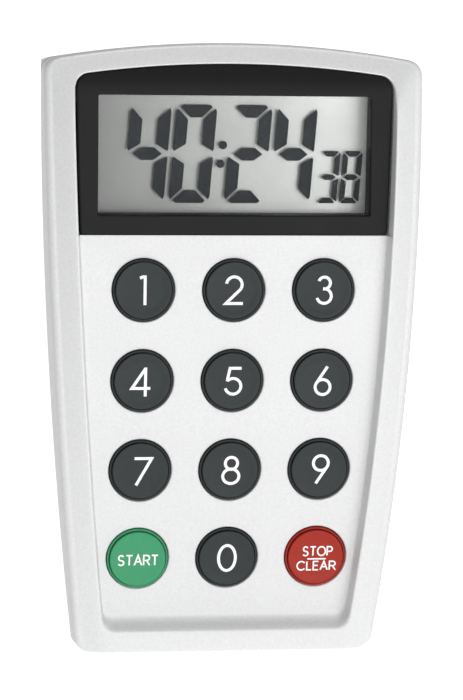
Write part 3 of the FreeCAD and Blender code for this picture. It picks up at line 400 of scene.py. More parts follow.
def buildBezel():
    # outlines from the skirt over the rounded edge and the face, round the window's edge and down its walls
    pivotX, pivotZ = bezel["pivot"]
    lowZ = bezel["pivotLowZ"]
    angle = np.linspace(0, math.pi / 2, bezel["cornerSteps"] + 1)
    sideZ = np.linspace(lowZ, pivotZ, bezel["sideSteps"] + 1)[1:-1]
    acrossX = np.linspace(pivotX, -pivotX, bezel["topSteps"] + 1)[1:-1]
    side = rays(0, sideZ, 1, 0)
    corner = rays(pivotX, pivotZ, np.cos(angle), np.sin(angle))
    cornerLow = rays(pivotX, lowZ, np.cos(angle), -np.sin(angle))
    top, low = rays(acrossX, pivotZ, 0, 1), rays(-acrossX, lowZ, 0, -1)
    loop = np.concatenate([side, corner, top, (corner * mirror)[::-1], (side * mirror)[::-1],
                           cornerLow * mirror, low, cornerLow[::-1]])
    start, way = loop[:, :2], loop[:, 2:]

    def outer(inset):
        def inside(x, z):
            side = halfWidth(z) - wallInset(z, bezelFace(z)) - bezel["gap"] - inset - np.abs(x)
            upper = rounded(side, lipTop(x) - bezel["topGap"] - inset - z, bezel["cornerTop"] - inset)
            return np.where(z > bezel["middleZ"], upper,
                            rounded(side, z - bezel["bottomZ"] - inset, bezel["cornerBottom"]))
        return onRays(start, way, inside)

    def window(grow):
        middleZ = (bezel["windowLow"] + bezel["windowHigh"]) / 2
        halfZ = (bezel["windowHigh"] - bezel["windowLow"]) / 2

        def inside(x, z):
            return rounded(bezel["windowHalf"] + grow - np.abs(x), halfZ + grow - np.abs(z - middleZ),
                           bezel["windowCorner"] + grow)
        return onRays(start, way, inside)

    edge = bezel["edge"]
    rim, face = outer(0), outer(edge)
    faceY = bezelFace(face[:, 1])
    rings = [withY(rim, faceY + bezel["skirt"]), withY(rim, faceY + edge * 1.3)]
    rings += bend(withY(rim, faceY + edge), withY(rim, bezelFace(rim[:, 1])), withY(face, faceY), 5)
    grow = bezel["windowEdge"]
    lip, wall = window(grow), window(0)
    for t in (0.12, 0.3, 0.5, 0.7, 0.88):
        across = face + (lip - face) * t
        rings.append(withY(across, bezelFace(across[:, 1])))
    lipY = bezelFace(lip[:, 1])
    rings += bend(withY(lip, lipY), withY(wall, bezelFace(wall[:, 1])), withY(wall, lipY + grow), 5)
    back = np.full(len(loop), bezel["windowBackY"])
    rings.append(withY(wall, (lipY + grow + back) / 2))
    rings.append(withY(wall, back))
    piece = makePiece("display_hood", np.concatenate(rings), [gridFaces(len(rings), len(loop), True)],
                      "case")
    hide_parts("display_bezel")
    thicken(piece, bezel["wall"])
    return piece


displayHood = buildBezel()
print("timer: display hood", len(displayHood.data.polygons), "faces")

# keys

keyShape = {
    "capRadius": 5.08, "proud": 0.62, "capRounding": 0.14, "dish": 0.2, "dishFlat": 3.4, "dishEdge": 4.9,
    "shoulderRadius": 5.58, "shoulderProud": 0.10, "shoulderRounding": 0.22,
    "grooveIn": 5.10, "grooveOut": 5.29, "grooveDepth": 0.5,
    "flangeRadius": 6.5, "flangeTop": -1.8, "flangeLow": -2.8, "stemRadius": 3.0, "turns": 96,
}


def arc(centreR, centreH, radius, fromAngle, toAngle, count):
    # points of an arc in the key's own radius, height plane; angles in degrees from the radius axis
    a = np.radians(np.linspace(fromAngle, toAngle, count))
    return [(centreR + radius * math.cos(t), centreH + radius * math.sin(t)) for t in a]


def dishHeight(r):
    # height of the cap's top: level in the middle, rising smoothly towards its rim
    rise = np.clip((r - keyShape["dishFlat"]) / (keyShape["dishEdge"] - keyShape["dishFlat"]), 0, 1)
    return keyShape["proud"] - keyShape["dish"] * (1 - rise * rise * (3 - 2 * rise))


def keyProfile(stemEnd):
    # radius and height pairs: the stem's end, the flange, the shoulder, the groove, the cap and its dish
    k = keyShape
    r1, r2 = k["shoulderRounding"], k["capRounding"]
    line = [(0, stemEnd), (k["stemRadius"] - 0.2, stemEnd), (k["stemRadius"], stemEnd + 0.2),
            (k["stemRadius"], k["flangeLow"]), (k["flangeRadius"] - 0.15, k["flangeLow"]),
            (k["flangeRadius"], k["flangeLow"] + 0.15), (k["flangeRadius"], k["flangeTop"]),
            (k["shoulderRadius"], k["flangeTop"])]
    line += arc(k["shoulderRadius"] - r1, k["shoulderProud"] - r1, r1, 0, 90, 6)
    line += [(k["grooveOut"] + 0.02, k["shoulderProud"]), (k["grooveOut"], k["shoulderProud"] - 0.03),
             (k["grooveOut"] - 0.02, -k["grooveDepth"]), (k["grooveIn"], -k["grooveDepth"]),
             (k["capRadius"], -k["grooveDepth"] + 0.05)]
    line += arc(k["capRadius"] - r2, k["proud"] - r2, r2, 0, 90, 6)
    line += [(r, dishHeight(r)) for r in np.linspace(k["dishEdge"], 0.4, 12)] + [(0, dishHeight(0.0))]
    return np.array(line)


def buildKey(name):
    # the profile turned about the key's own axis
    centre, up, out = keyFrame(name)
    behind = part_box(name)[1][1] / mm - centre[1]
    stemEnd = -(behind - keyShape["stemRadius"] * abs(out[2])) / abs(out[1])
    profile = keyProfile(stemEnd)
    angle = np.linspace(0, 2 * math.pi, keyShape["turns"], endpoint=False)
    around = np.cos(angle)[:, None] * np.array([1, 0, 0]) + np.sin(angle)[:, None] * up
    rings = centre + profile[:, 0, None, None] * around[None] + profile[:, 1, None, None] * out
    piece = makePiece(name + "_cap", rings.reshape(-1, 3), [gridFaces(len(profile), len(angle), True)],
                      name + "_button", 35)
    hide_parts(name)
    return piece


keySlots = {name: "key_grey" for name in keyNames}
keySlots["key_start"], keySlots["key_stop_clear"] = "key_green", "key_red"
keyPieces = {name: buildKey(name) for name in keyNames}
print("timer: keys", len(keyPieces))

# legends

legend = {"digitStroke": 0.53, "wordStroke": 0.29, "raise": 0.025, "sink": 0.04}


def sweepArc(x, z, rx, rz, start, end, count=28):
    # points of an elliptical arc, angles in degrees
    a = np.radians(np.linspace(start, end, count))
    return np.c_[x + rx * np.cos(a), z + rz * np.sin(a)]


def join(*runs):
    return np.concatenate([np.atleast_2d(r) for r in runs])


digitStrokes = {
    "0": [sweepArc(0, 0, 1.55, 2.38, 90, 450, 56)],
    "1": [join((-0.72, 2.2), (-0.1, 2.42), (0.22, 2.42), (0.22, -2.65))],
    "2": [join(sweepArc(0, 1.0, 1.42, 1.42, 172, -36, 30), (-1.5, -2.38), (1.6, -2.38))],
    "3": [join(sweepArc(0.1, 1.3, 1.07, 1.07, 160, -90, 30), (-0.15, 0.24)),
          join((-0.15, 0.27), sweepArc(0.05, -1.05, 1.32, 1.32, 90, -165, 32))],
    "4": [join((0.62, -1.29), (-1.9, -1.29), (0.55, 2.35)), join((0.55, 2.5), (0.55, -2.75)),
          join((0.5, -1.29), (1.45, -1.29))],
    "5": [join((1.6, 2.3), (-0.5, 2.3), (-0.95, 0.2), sweepArc(0.1, -0.98, 1.43, 1.43, 128, -165, 34))],
    "6": [join((0.96, 2.55), sweepArc(0.15, -1.2, 1.37, 1.37, 150, 158, 3)),
          sweepArc(0.15, -1.2, 1.37, 1.37, 90, 450, 56)],
    "7": [join((-1.1, 2.3), (2.0, 2.3), (-0.75, -2.65))],
    "8": [sweepArc(0.2, 1.28, 1.12, 1.12, 90, 450, 48), sweepArc(0.16, -1.12, 1.48, 1.35, 90, 450, 56)],
    "9": [sweepArc(0.27, 1.2, 1.37, 1.37, 90, 450, 56),
          join(sweepArc(0.27, 1.2, 1.37, 1.37, -22, -30, 3), (-0.57, -2.6))],
}

# each letter stands in a box one unit high and its own width wide
letterStrokes = {
    "S": (0.62, [join(sweepArc(0.31, 0.74, 0.24, 0.26, 25, 270, 20),
                      sweepArc(0.31, 0.24, 0.27, 0.24, 90, -155, 20))]),
    "T": (0.62, [join((0, 1), (0.62, 1)), join((0.31, 1), (0.31, 0))]),
    "A": (0.72, [join((0, 0), (0.36, 1), (0.72, 0)), join((0.14, 0.36), (0.58, 0.36))]),
    "R": (0.6, [join((0, 0), (0, 1), (0.32, 1), sweepArc(0.32, 0.74, 0.25, 0.26, 90, -90, 14), (0, 0.48)),
                join((0.3, 0.48), (0.6, 0))]),
    "O": (0.86, [sweepArc(0.43, 0.5, 0.43, 0.5, 90, 450, 40)]),
    "P": (0.56, [join((0, 0), (0, 1), (0.3, 1), sweepArc(0.3, 0.73, 0.26, 0.27, 90, -90, 14), (0, 0.46))]),
    "C": (0.78, [sweepArc(0.43, 0.5, 0.43, 0.5, 42, 318, 34)]),
    "L": (0.46, [join((0, 1), (0, 0), (0.46, 0))]),
    "E": (0.5, [join((0.5, 1), (0, 1), (0, 0), (0.5, 0)), join((0, 0.52), (0.44, 0.52))]),
}


def wordStrokes(word, width, height, x, z):
    # the letters of a word set side by side, scaled to its width and height about its centre
    gap, cursor, runs = 0.2, 0.0, []
    for letter in word:
        wide, strokes = letterStrokes[letter]
        runs += [stroke + np.array([cursor, 0]) for stroke in strokes]
        cursor += wide + gap
    scale = np.array([width / (cursor - gap), height])
    return [(run * scale) - np.array([width / 2, height / 2]) + np.array([x, z]) for run in runs]


def ribbon(path, width):
    # a stroke: the path's two offset edges, mitred at its corners, as left and right point rows
    closed = np.allclose(path[0], path[-1])
    keep = np.r_[True, np.hypot(*np.diff(path, axis=0).T) > 1e-4]
    path = path[keep]
    step = np.diff(path, axis=0)
    step /= np.hypot(step[:, 0], step[:, 1])[:, None]
    before = np.concatenate([[step[-1] if closed else step[0]], step])
    after = np.concatenate([step, [step[0] if closed else step[-1]]])
    tangent = before + after
    tangent /= np.hypot(tangent[:, 0], tangent[:, 1])[:, None]
    normal = np.c_[-tangent[:, 1], tangent[:, 0]]
    turn = np.clip((normal * np.c_[-after[:, 1], after[:, 0]]).sum(1), 0.35, 1)
    offset = normal * (width / 2 / turn)[:, None]
    return path + offset, path - offset, closed


def subdivide(path, longest):
    # adds points so that no run is longer than the given length
    rows = []
    for a, b in zip(path[:-1], path[1:]):
        parts = max(1, int(math.ceil(math.hypot(*(b - a)) / longest)))
        rows.append(a + (b - a) * np.linspace(0, 1, parts, endpoint=False)[:, None])
    return np.concatenate(rows + [path[-1:]])


def buildLegend(name, strokes, width):
    # each stroke as a thin closed bar that follows the dish of its cap
    centre, up, out = keyFrame(name)
    points, faces, total = [], [], 0
    for order, path in enumerate(strokes):
        left, right, closed = ribbon(subdivide(path, 0.5), width)
        top = legend["raise"] + 0.002 * order
        lift = [(left, -legend["sink"]), (left, top), (right, top), (right, -legend["sink"])]
        rings = []
        for edge, height in lift:
            level = dishHeight(np.hypot(edge[:, 0], edge[:, 1])) + height
            rings.append(centre + edge[:, :1] * np.array([1, 0, 0]) + edge[:, 1:] * up + level[:, None] * out)
        block = np.stack(rings, 1).reshape(-1, 3)
        points.append(block)
        faces.append(gridFaces(len(left), 4, True) + total)
        if not closed:
            faces.append(np.array([[0, 1, 2, 3], [-1, -2, -3, -4]]) % len(block) + total)
        total += len(block)
    piece = makePiece(name + "_legend", np.concatenate(points), faces, name + "_button", 30)
    work = bmesh.new()
    work.from_mesh(piece.data)
    bmesh.ops.recalc_face_normals(work, faces=work.faces)
    work.to_mesh(piece.data)
    work.free()
    return piece


legends = {}
for name in keyNames:
    digit = name.split("_")[1]
    if digit in digitStrokes:
        legends[name] = buildLegend(name, digitStrokes[digit], legend["digitStroke"])
startWord = wordStrokes("START", 7.3, 1.85, 0.06, -0.24)
legends["key_start"] = buildLegend("key_start", startWord, legend["wordStroke"])
stopClear = (wordStrokes("STOP", 5.45, 1.68, 0.33, 1.09) + wordStrokes("CLEAR", 7.1, 1.6, 0.2, -1.67)
             + [np.array([[-1.5, -0.37], [1.9, -0.37]])])
legends["key_stop_clear"] = buildLegend("key_stop_clear", stopClear, legend["wordStroke"] * 0.92)
print("timer: legends", len(legends))

# display segments

segments = {
    "big": {"width": 7.45, "height": 17.75, "low": 81.67, "thick": 2.3},
    "small": {"width": 3.65, "height": 9.5, "low": 81.7, "thick": 1.02},
    "slant": 4.1, "y": -0.31, "deep": 0.02,
    "bigRight": [-10.8, -2.5, 7.6, 15.95], "bigShown": "4024",
    "smallRight": [20.3, 24.4], "smallShown": "38",
    "dots": [(-1.4, 92.17), (-1.8, 88.79)], "dotRadius": 0.76,
}
segmentsOf = {"0": "abcdef", "1": "bc", "2": "abged", "3": "abgcd", "4": "fgbc", "5": "afgcd",
              "6": "afgcde", "7": "abc", "8": "abcdefg", "9": "abcdfg"}


def segmentShapes(w, h, t):
    # the seven bars of one digit in a w by h box, its corners cut off and its mitres left open
    k, m = t / 2.3, h / 2
    top = [(1.3 * k, h), (w - 1.3 * k, h), (w - 0.82 * k, h - 0.45 * k), (w - 2.7 * k, h - t),
           (2.7 * k, h - t), (0.82 * k, h - 0.45 * k)]
    upper = [(0, h - 1.3 * k), (0.28 * k, h - 0.65 * k), (t, h - 2.65 * k), (t, m + 1.8 * k),
             (0.2 * k, m + 0.5 * k), (0, m + 0.82 * k)]
    middle = [(1.1 * k, m), (2.6 * k, m + t / 2), (w - 2.6 * k, m + t / 2), (w - 1.1 * k, m),
              (w - 2.6 * k, m - t / 2), (2.6 * k, m - t / 2)]
    below = lambda shape: [(x, h - z) for x, z in shape]
    across = lambda shape: [(w - x, z) for x, z in shape]
    return {"a": top, "d": below(top), "f": upper, "e": below(upper), "b": across(upper),
            "c": across(below(upper)), "g": middle}


def buildSegments():
    # every lit bar and both colon dots as thin flat prisms, leaning with the digits
    lean = math.tan(math.radians(segments["slant"]))
    shapes = []
    for size, rights, shown in (("big", segments["bigRight"], segments["bigShown"]),
                                ("small", segments["smallRight"], segments["smallShown"])):
        s = segments[size]
        bars = segmentShapes(s["width"], s["height"], s["thick"])
        for right, digit in zip(rights, shown):
            for bar in segmentsOf[digit]:
                shape = np.array(bars[bar])
                x = right - s["width"] + shape[:, 0] - lean * (s["height"] - shape[:, 1])
                shapes.append(np.c_[x, s["low"] + shape[:, 1]])
    turn = np.linspace(0, 2 * math.pi, 28, endpoint=False)
    for x, z in segments["dots"]:
        circle = segments["dotRadius"] * np.c_[np.cos(turn), np.sin(turn)]
        shapes.append(np.array([x, z]) + circle)
    points, faces, total = [], [], 0
    for shape in shapes:
        count = len(shape)
        area = 0.5 * np.sum(shape[:, 0] * np.roll(shape[:, 1], -1) - np.roll(shape[:, 0], -1) * shape[:, 1])
        if area < 0:
            shape = shape[::-1]
        front = np.c_[shape[:, 0], np.full(count, segments["y"]), shape[:, 1]]
        back = front + np.array([0, segments["deep"], 0])
        ring = np.arange(count)
        after = (ring + 1) % count
        points += [front, back]
        faces.append([(ring + total).tolist()])
        faces.append([(ring + total + count)[::-1].tolist()])
        faces.append(np.c_[ring, ring + count, after + count, after] + total)
        total += 2 * count
    return makePiece("lcd_segments", np.concatenate(points), faces, "case", 30)


lcdSegments = buildSegments()
print("timer: display segments", len(lcdSegments.data.polygons), "faces")

# display glass

glassShape = {"gap": 0.02, "corner": 0.4, "bevel": 0.12}


def buildGlass(name, frontGap, backGap):
    # a sheet with ground edges and corners: rounded rectangles stepped in at both faces, closed flat
    low, high = (np.array(corner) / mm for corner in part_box(name))
    angle = np.linspace(0, math.pi / 2, 7)
    turn = np.concatenate([angle, angle + math.pi / 2, angle + math.pi, angle + 1.5 * math.pi])
    quarter = np.repeat(np.arange(4), 7)
    signX, signZ = np.array([1, -1, -1, 1])[quarter], np.array([1, 1, -1, -1])[quarter]
    middle, half = (low + high) / 2, (high - low) / 2
    y0, y1 = low[1] + frontGap, high[1] - backGap
    rings = []
    for inset, y in ((glassShape["bevel"], y0), (0, y0 + glassShape["bevel"]),
                     (0, y1 - glassShape["bevel"]), (glassShape["bevel"], y1)):
        radius = glassShape["corner"]
        x = middle[0] + signX * (half[0] - radius) + (radius - inset) * np.cos(turn)
        z = middle[2] + signZ * (half[2] - radius) + (radius - inset) * np.sin(turn)
        rings.append(np.stack([x, np.full(len(turn), y), z], -1))
    count = len(turn)
    caps = [[list(range(count))], [list(range(4 * count - 1, 3 * count - 1, -1))]]
    quads = gridFaces(4, count, True)[:, ::-1]
    piece = makePiece(name + "_sheet", np.concatenate(rings), [quads] + caps, "case", 20)
    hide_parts(name)
    return piece


glassSheets = [buildGlass("lcd_front_glass", 0, glassShape["gap"]),
               buildGlass("lcd_rear_glass", glassShape["gap"], glassShape["gap"])]
print("timer: display glass")

# the rear parts keep their CAD shape, with smooth shading over their rounded edges

def smoothCopy(name, body, angle=32):
    # a copy of a CAD node with its loose triangles merged, smooth except at real edges
    mesh = nodes[name].data.copy()
    mesh.name = name + "_smooth"
    work = bmesh.new()
    work.from_mesh(mesh)
    bmesh.ops.remove_doubles(work, verts=work.verts, dist=1e-6)
    smoothed(work, angle)
    work.to_mesh(mesh)
    work.free()
    if mesh.has_custom_normals:
        mesh.attributes.remove(mesh.attributes["custom_normal"])
    piece = addPiece(name + "_smooth", mesh, body)
    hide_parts(name)
    return piece


rearShell = smoothCopy("rear_housing", "case")
standFlap = smoothCopy("stand", "stand_flap")
coinCover = smoothCopy("battery_cover", "cover")
print("timer: rear parts")

# shader node groups

def newGroup(name, inputs, outputs):
    # a node group with named sockets; inputs map a name to its socket type and value
    group = bpy.data.node_groups.new(name, "ShaderNodeTree")
    for socket, (kind, value) in inputs.items():
        made = group.interface.new_socket(name=socket, in_out="INPUT", socket_type=kind)
        made.default_value = value
    for socket, kind in outputs.items():
        group.interface.new_socket(name=socket, in_out="OUTPUT", socket_type=kind)
    return group, group.nodes.new("NodeGroupInput"), group.nodes.new("NodeGroupOutput")


def addNode(tree, kind, values=None, **settings):
    node = tree.nodes.new(kind)
    for key, value in settings.items():
        setattr(node, key, value)
    for key, value in (values or {}).items():
        node.inputs[key].default_value = value
    return node


def calc(tree, operation, *values, kind="ShaderNodeMath"):
    # a math node fed with sockets or plain numbers; gives its result's socket
    node = addNode(tree, kind, operation=operation)
    for socket, value in zip(node.inputs, values):
        if isinstance(value, bpy.types.NodeSocket):
            tree.links.new(value, socket)
        else:
            socket.default_value = value
    return node.outputs[0]


def shaded(tree, color, *parts):
    # the colour brightened or darkened by parts that lie about zero
    share = 1.0
    for part in parts:
        share = calc(tree, "ADD", part, share)
    return calc(tree, "MULTIPLY", color, share, kind="ShaderNodeVectorMath")


def makeGrain():
    # fine speckle: two scales of noise that shade a colour and give a height for the bump
    colour, number = "NodeSocketColor", "NodeSocketFloat"
    group, start, end = newGroup("fineGrain", {
        "Color": (colour, (0.8, 0.8, 0.8, 1)), "Scale": (number, 2500.0),
        "Contrast": (number, 0.04), "Mottle": (number, 0.03)},
        {"Color": colour, "Height": number, "Mask": number})
    link = group.links.new
    where = addNode(group, "ShaderNodeTexCoord")
    fine = addNode(group, "ShaderNodeTexNoise", {"Detail": 2.0, "Roughness": 0.65})
    broad = addNode(group, "ShaderNodeTexNoise", {"Scale": 90.0, "Detail": 3.0})
    link(where.outputs["Object"], fine.inputs["Vector"])
    link(where.outputs["Object"], broad.inputs["Vector"])
    link(start.outputs["Scale"], fine.inputs["Scale"])
    parts = [calc(group, "MULTIPLY", calc(group, "SUBTRACT", noise.outputs["Fac"], 0.5), start.outputs[name])
             for noise, name in ((broad, "Mottle"), (fine, "Contrast"))]
    link(shaded(group, start.outputs["Color"], *parts), end.inputs["Color"])
    link(fine.outputs["Fac"], end.inputs["Height"])
    link(broad.outputs["Fac"], end.inputs["Mask"])
    return group


def makeBrushed():
    # drawn-metal lines: noise stretched along one direction, shading a colour and giving a height
    colour, number = "NodeSocketColor", "NodeSocketFloat"
    group, start, end = newGroup("brushedLines", {
        "Color": (colour, (0.7, 0.7, 0.7, 1)), "Stretch": ("NodeSocketVector", (60.0, 1.0, 2400.0)),
        "Contrast": (number, 0.15)}, {"Color": colour, "Height": number})
    link = group.links.new
    where = addNode(group, "ShaderNodeTexCoord")
    lines = addNode(group, "ShaderNodeTexNoise", {"Scale": 1.0, "Detail": 3.0, "Roughness": 0.6})
    along = calc(group, "MULTIPLY", where.outputs["Object"], start.outputs["Stretch"],
                 kind="ShaderNodeVectorMath")
    link(along, lines.inputs["Vector"])
    part = calc(group, "MULTIPLY", calc(group, "SUBTRACT", lines.outputs["Fac"], 0.5),
                start.outputs["Contrast"])
    link(shaded(group, start.outputs["Color"], part), end.inputs["Color"])
    link(lines.outputs["Fac"], end.inputs["Height"])
    return group


fineGrain, brushedLines = makeGrain(), makeBrushed()


def newMaterial(name, **sockets):
    # a material with one Principled shader whose plain values are set on its own sockets
    material = bpy.data.materials.new(name)
    material.use_nodes = True
    tree = material.node_tree
    shader = tree.nodes["Principled BSDF"]
    for key, value in sockets.items():
        shader.inputs[key.replace("_", " ")].default_value = value
    return material, tree, shader


def wander(tree, shader, mask, socket, low, high):
    # a shader value that wanders between two values with a mask
    spread = addNode(tree, "ShaderNodeMapRange", {"From Min": 0.3, "From Max": 0.7,
                                                  "To Min": low, "To Max": high})
    tree.links.new(mask, spread.inputs["Value"])
    tree.links.new(spread.outputs["Result"], shader.inputs[socket])


def bumpFrom(tree, shader, height, distance):
    bump = addNode(tree, "ShaderNodeBump", {"Strength": 1.0, "Distance": distance * mm})
    tree.links.new(height, bump.inputs["Height"])
    tree.links.new(bump.outputs["Normal"], shader.inputs["Normal"])


def plasticFinish(name, color, rough, scale, contrast, mottle, bump, **sockets):
    # moulded or painted plastic: fine grain in colour and bump, roughness that wanders a little
    material, tree, shader = newMaterial(name, **sockets)
    grain = addNode(tree, "ShaderNodeGroup", {"Color": (*color, 1), "Scale": scale, "Contrast": contrast,
                                              "Mottle": mottle}, node_tree=fineGrain)
    tree.links.new(grain.outputs["Color"], shader.inputs["Base Color"])
    wander(tree, shader, grain.outputs["Mask"], "Roughness", rough - 0.03, rough + 0.04)
    bumpFrom(tree, shader, grain.outputs["Height"], bump)
    return material


def filmWithPaintedLight(name, color, rough, dim, bright, halfWide, **sockets):
    # a grained film whose colour is also brightened from one side to the other: the grain is the film's own,
    # the brightening along x is painted light, standing in for the gloss that catches the light on the right
    material = plasticFinish(name, color, rough, 1600.0, 0.12, 0.03, 0.006, **sockets)
    tree = material.node_tree
    shader = tree.nodes["Principled BSDF"]
    where = addNode(tree, "ShaderNodeTexCoord")
    apart = addNode(tree, "ShaderNodeSeparateXYZ")
    share = addNode(tree, "ShaderNodeMapRange", {"From Min": -halfWide * mm, "From Max": halfWide * mm,
                                                 "To Min": dim, "To Max": bright})
    tree.links.new(where.outputs["Object"], apart.inputs[0])
    tree.links.new(apart.outputs["X"], share.inputs["Value"])
    # painted light: the grained colour is multiplied by a ramp that runs from dim at the left to bright at
    # the right
    grained = shader.inputs["Base Color"].links[0].from_socket
    tree.links.new(calc(tree, "MULTIPLY", grained, share.outputs["Result"], kind="ShaderNodeVectorMath"),
                   shader.inputs["Base Color"])
    return material


def metalFinish(name, color, rough, stretch, contrast):
    # plated or rolled metal with fine drawn lines
    material, tree, shader = newMaterial(name, Metallic=1.0, Roughness=rough)
    lines = addNode(tree, "ShaderNodeGroup", {"Color": (*color, 1), "Stretch": stretch, "Contrast": contrast},
                    node_tree=brushedLines)
    tree.links.new(lines.outputs["Color"], shader.inputs["Base Color"])
    bumpFrom(tree, shader, lines.outputs["Height"], 0.004)
    return material


def stripedFinish(name, dark, light, pitch, rough):
    # bands of two colours side by side, as in a layered connector or on a board's tracks
    material, tree, shader = newMaterial(name, Roughness=rough)
    where = addNode(tree, "ShaderNodeTexCoord")
    bands = addNode(tree, "ShaderNodeTexWave", {"Scale": pitch, "Distortion": 0.2, "Detail": 1.0})
    ramp = addNode(tree, "ShaderNodeValToRGB")
    ramp.color_ramp.elements[0].color, ramp.color_ramp.elements[1].color = (*dark, 1), (*light, 1)
    ramp.color_ramp.elements[0].position, ramp.color_ramp.elements[1].position = 0.45, 0.55
    tree.links.new(where.outputs["Object"], bands.inputs["Vector"])
    tree.links.new(bands.outputs["Fac"], ramp.inputs["Fac"])
    tree.links.new(ramp.outputs["Color"], shader.inputs["Base Color"])
    bumpFrom(tree, shader, bands.outputs["Fac"], 0.01)
    return material


def clearFinish(name, color, alpha, rough):
    # thin clear sheet: nearly see-through, with its own gloss and a faint film of dust
    material, tree, shader = newMaterial(name, Roughness=rough, Alpha=alpha, IOR=1.45,
                                         Specular_IOR_Level=0.25)
    grain = addNode(tree, "ShaderNodeGroup", {"Color": (*color, 1), "Scale": 900.0, "Contrast": 0.1,
                                              "Mottle": 0.1}, node_tree=fineGrain)
    tree.links.new(grain.outputs["Color"], shader.inputs["Base Color"])
    wander(tree, shader, grain.outputs["Mask"], "Alpha", alpha * 0.85, alpha * 1.15)
    return material


# colour, roughness, grain scale, contrast, mottle and bump, then further shader values
plastics = {
    "silverPaint": ((0.665, 0.667, 0.67), 0.50, 2200.0, 0.22, 0.02, 0.008,
                    {"Metallic": 0.08, "Specular_IOR_Level": 0.3}),
    "backSilver": ((0.62, 0.63, 0.64), 0.48, 1500.0, 0.10, 0.03, 0.012, {"Metallic": 0.1}),
    "standSilver": ((0.56, 0.57, 0.58), 0.50, 1500.0, 0.10, 0.03, 0.012, {}),
    "hoodBlack": ((0.012, 0.0122, 0.0125), 0.50, 1800.0, 0.25, 0.08, 0.008, {"Specular_IOR_Level": 0.10}),
    "keyGrey": ((0.028, 0.0325, 0.0335), 0.55, 1600.0, 0.25, 0.08, 0.008, {"Specular_IOR_Level": 0.22}),
    "keyGreen": ((0.041, 0.28, 0.127), 0.55, 1600.0, 0.12, 0.06, 0.008, {"Specular_IOR_Level": 0.3}),
    "keyRed": ((0.32, 0.016, 0.005), 0.55, 1600.0, 0.12, 0.06, 0.008, {"Specular_IOR_Level": 0.3}),
    "legendWhite": ((0.86, 0.86, 0.85), 0.5, 2500.0, 0.08, 0.03, 0.003, {}),
    "segmentInk": ((0.012, 0.015, 0.019), 0.6, 1200.0, 0.1, 0.08, 0.002, {"Specular_IOR_Level": 0.1}),
    "whitePlastic": ((0.80, 0.80, 0.78), 0.45, 1500.0, 0.05, 0.03, 0.01, {}),
    "matSilicone": ((0.34, 0.35, 0.36), 0.62, 900.0, 0.12, 0.08, 0.01, {}),
    "boardGreen": ((0.03, 0.16, 0.06), 0.35, 700.0, 0.25, 0.30, 0.01, {"Coat_Weight": 0.3}),
    "resinBlack": ((0.012, 0.012, 0.013), 0.22, 500.0, 0.2, 0.2, 0.02, {}),
    "chipCeramic": ((0.28, 0.19, 0.13), 0.5, 2500.0, 0.3, 0.1, 0.01, {}),
    "ceramicSilver": ((0.80, 0.78, 0.72), 0.38, 1800.0, 0.12, 0.08, 0.01, {"Metallic": 0.2}),
    "leadRed": ((0.55, 0.03, 0.02), 0.45, 900.0, 0.1, 0.1, 0.01, {}),
    "leadBlack": ((0.02, 0.02, 0.02), 0.45, 900.0, 0.2, 0.1, 0.01, {}),
}
# colour, roughness, stretch of the lines along each axis, contrast
metals = {
    "nickelPlate": ((0.66, 0.65, 0.62), 0.28, (60.0, 60.0, 2400.0), 0.2),
    "zincScrew": ((0.60, 0.61, 0.63), 0.34, (1800.0, 200.0, 1800.0), 0.3),
    "rolledBrass": ((0.72, 0.52, 0.22), 0.30, (1600.0, 60.0, 60.0), 0.2),
    "magnetPlate": ((0.56, 0.56, 0.56), 0.24, (300.0, 300.0, 300.0), 0.12),
}
finishes = {name: plasticFinish(name, *values[:-1], **values[-1]) for name, values in plastics.items()}
finishes.update({name: metalFinish(name, *values) for name, values in metals.items()})
# the reflector's colour runs from dim at the left to bright at the right: a painted light gradient, on top of
# its own grain
finishes["reflectorPaintedLight"] = filmWithPaintedLight("reflectorPaintedLight", (0.42, 0.432, 0.415), 0.38, 0.32, 1.22, 24.5,
                                       Metallic=0.25)
finishes["connectorStripe"] = stripedFinish("connectorStripe", (0.02, 0.02, 0.02), (0.30, 0.30, 0.31),
                                            900.0, 0.6)
finishes["clearWindow"] = clearFinish("clearWindow", (0.30, 0.31, 0.31), 0.02, 0.05)
finishes["thinGlass"] = clearFinish("thinGlass", (0.30, 0.32, 0.31), 0.012, 0.08)

nodeFinish = {
    "display_window": "clearWindow",
    "lcd_reflector": "reflectorPaintedLight", "lcd_frame": "whitePlastic", "connector_strip_upper": "connectorStripe",
    "connector_strip_lower": "connectorStripe", "keypad_mat": "matSilicone", "circuit_board": "boardGreen",
    "controller_blob": "resinBlack", "quartz_crystal": "nickelPlate", "chip_parts": "chipCeramic",
    "board_screws": "zincScrew", "case_screws": "zincScrew", "button_cell": "nickelPlate",
    "contact_negative": "nickelPlate", "contact_positive": "nickelPlate", "buzzer_disc": "rolledBrass",
    "buzzer_ceramic": "ceramicSilver", "buzzer_lead_red": "leadRed", "buzzer_lead_black": "leadBlack",
    "magnet_right": "magnetPlate", "magnet_left": "magnetPlate",
}


def setFinish(piece, finish):
    piece.data.materials.clear()
    piece.data.materials.append(finishes[finish])


for name, finish in nodeFinish.items():
    setFinish(nodes[name], finish)
for piece, finish in ((frontShell, "silverPaint"), (displayHood, "hoodBlack"), (lcdSegments, "segmentInk"),
                      (glassSheets[0], "thinGlass"), (glassSheets[1], "thinGlass"),
                      (rearShell, "backSilver"), (standFlap, "standSilver"), (coinCover, "backSilver")):
    setFinish(piece, finish)
keyFinish = {"key_start": "keyGreen", "key_stop_clear": "keyRed"}
for name in keyNames:
    setFinish(keyPieces[name], keyFinish.get(name, "keyGrey"))
    setFinish(legends[name], "legendWhite")
print("timer: finishes", len(finishes))

# floor, backdrop, lights and camera

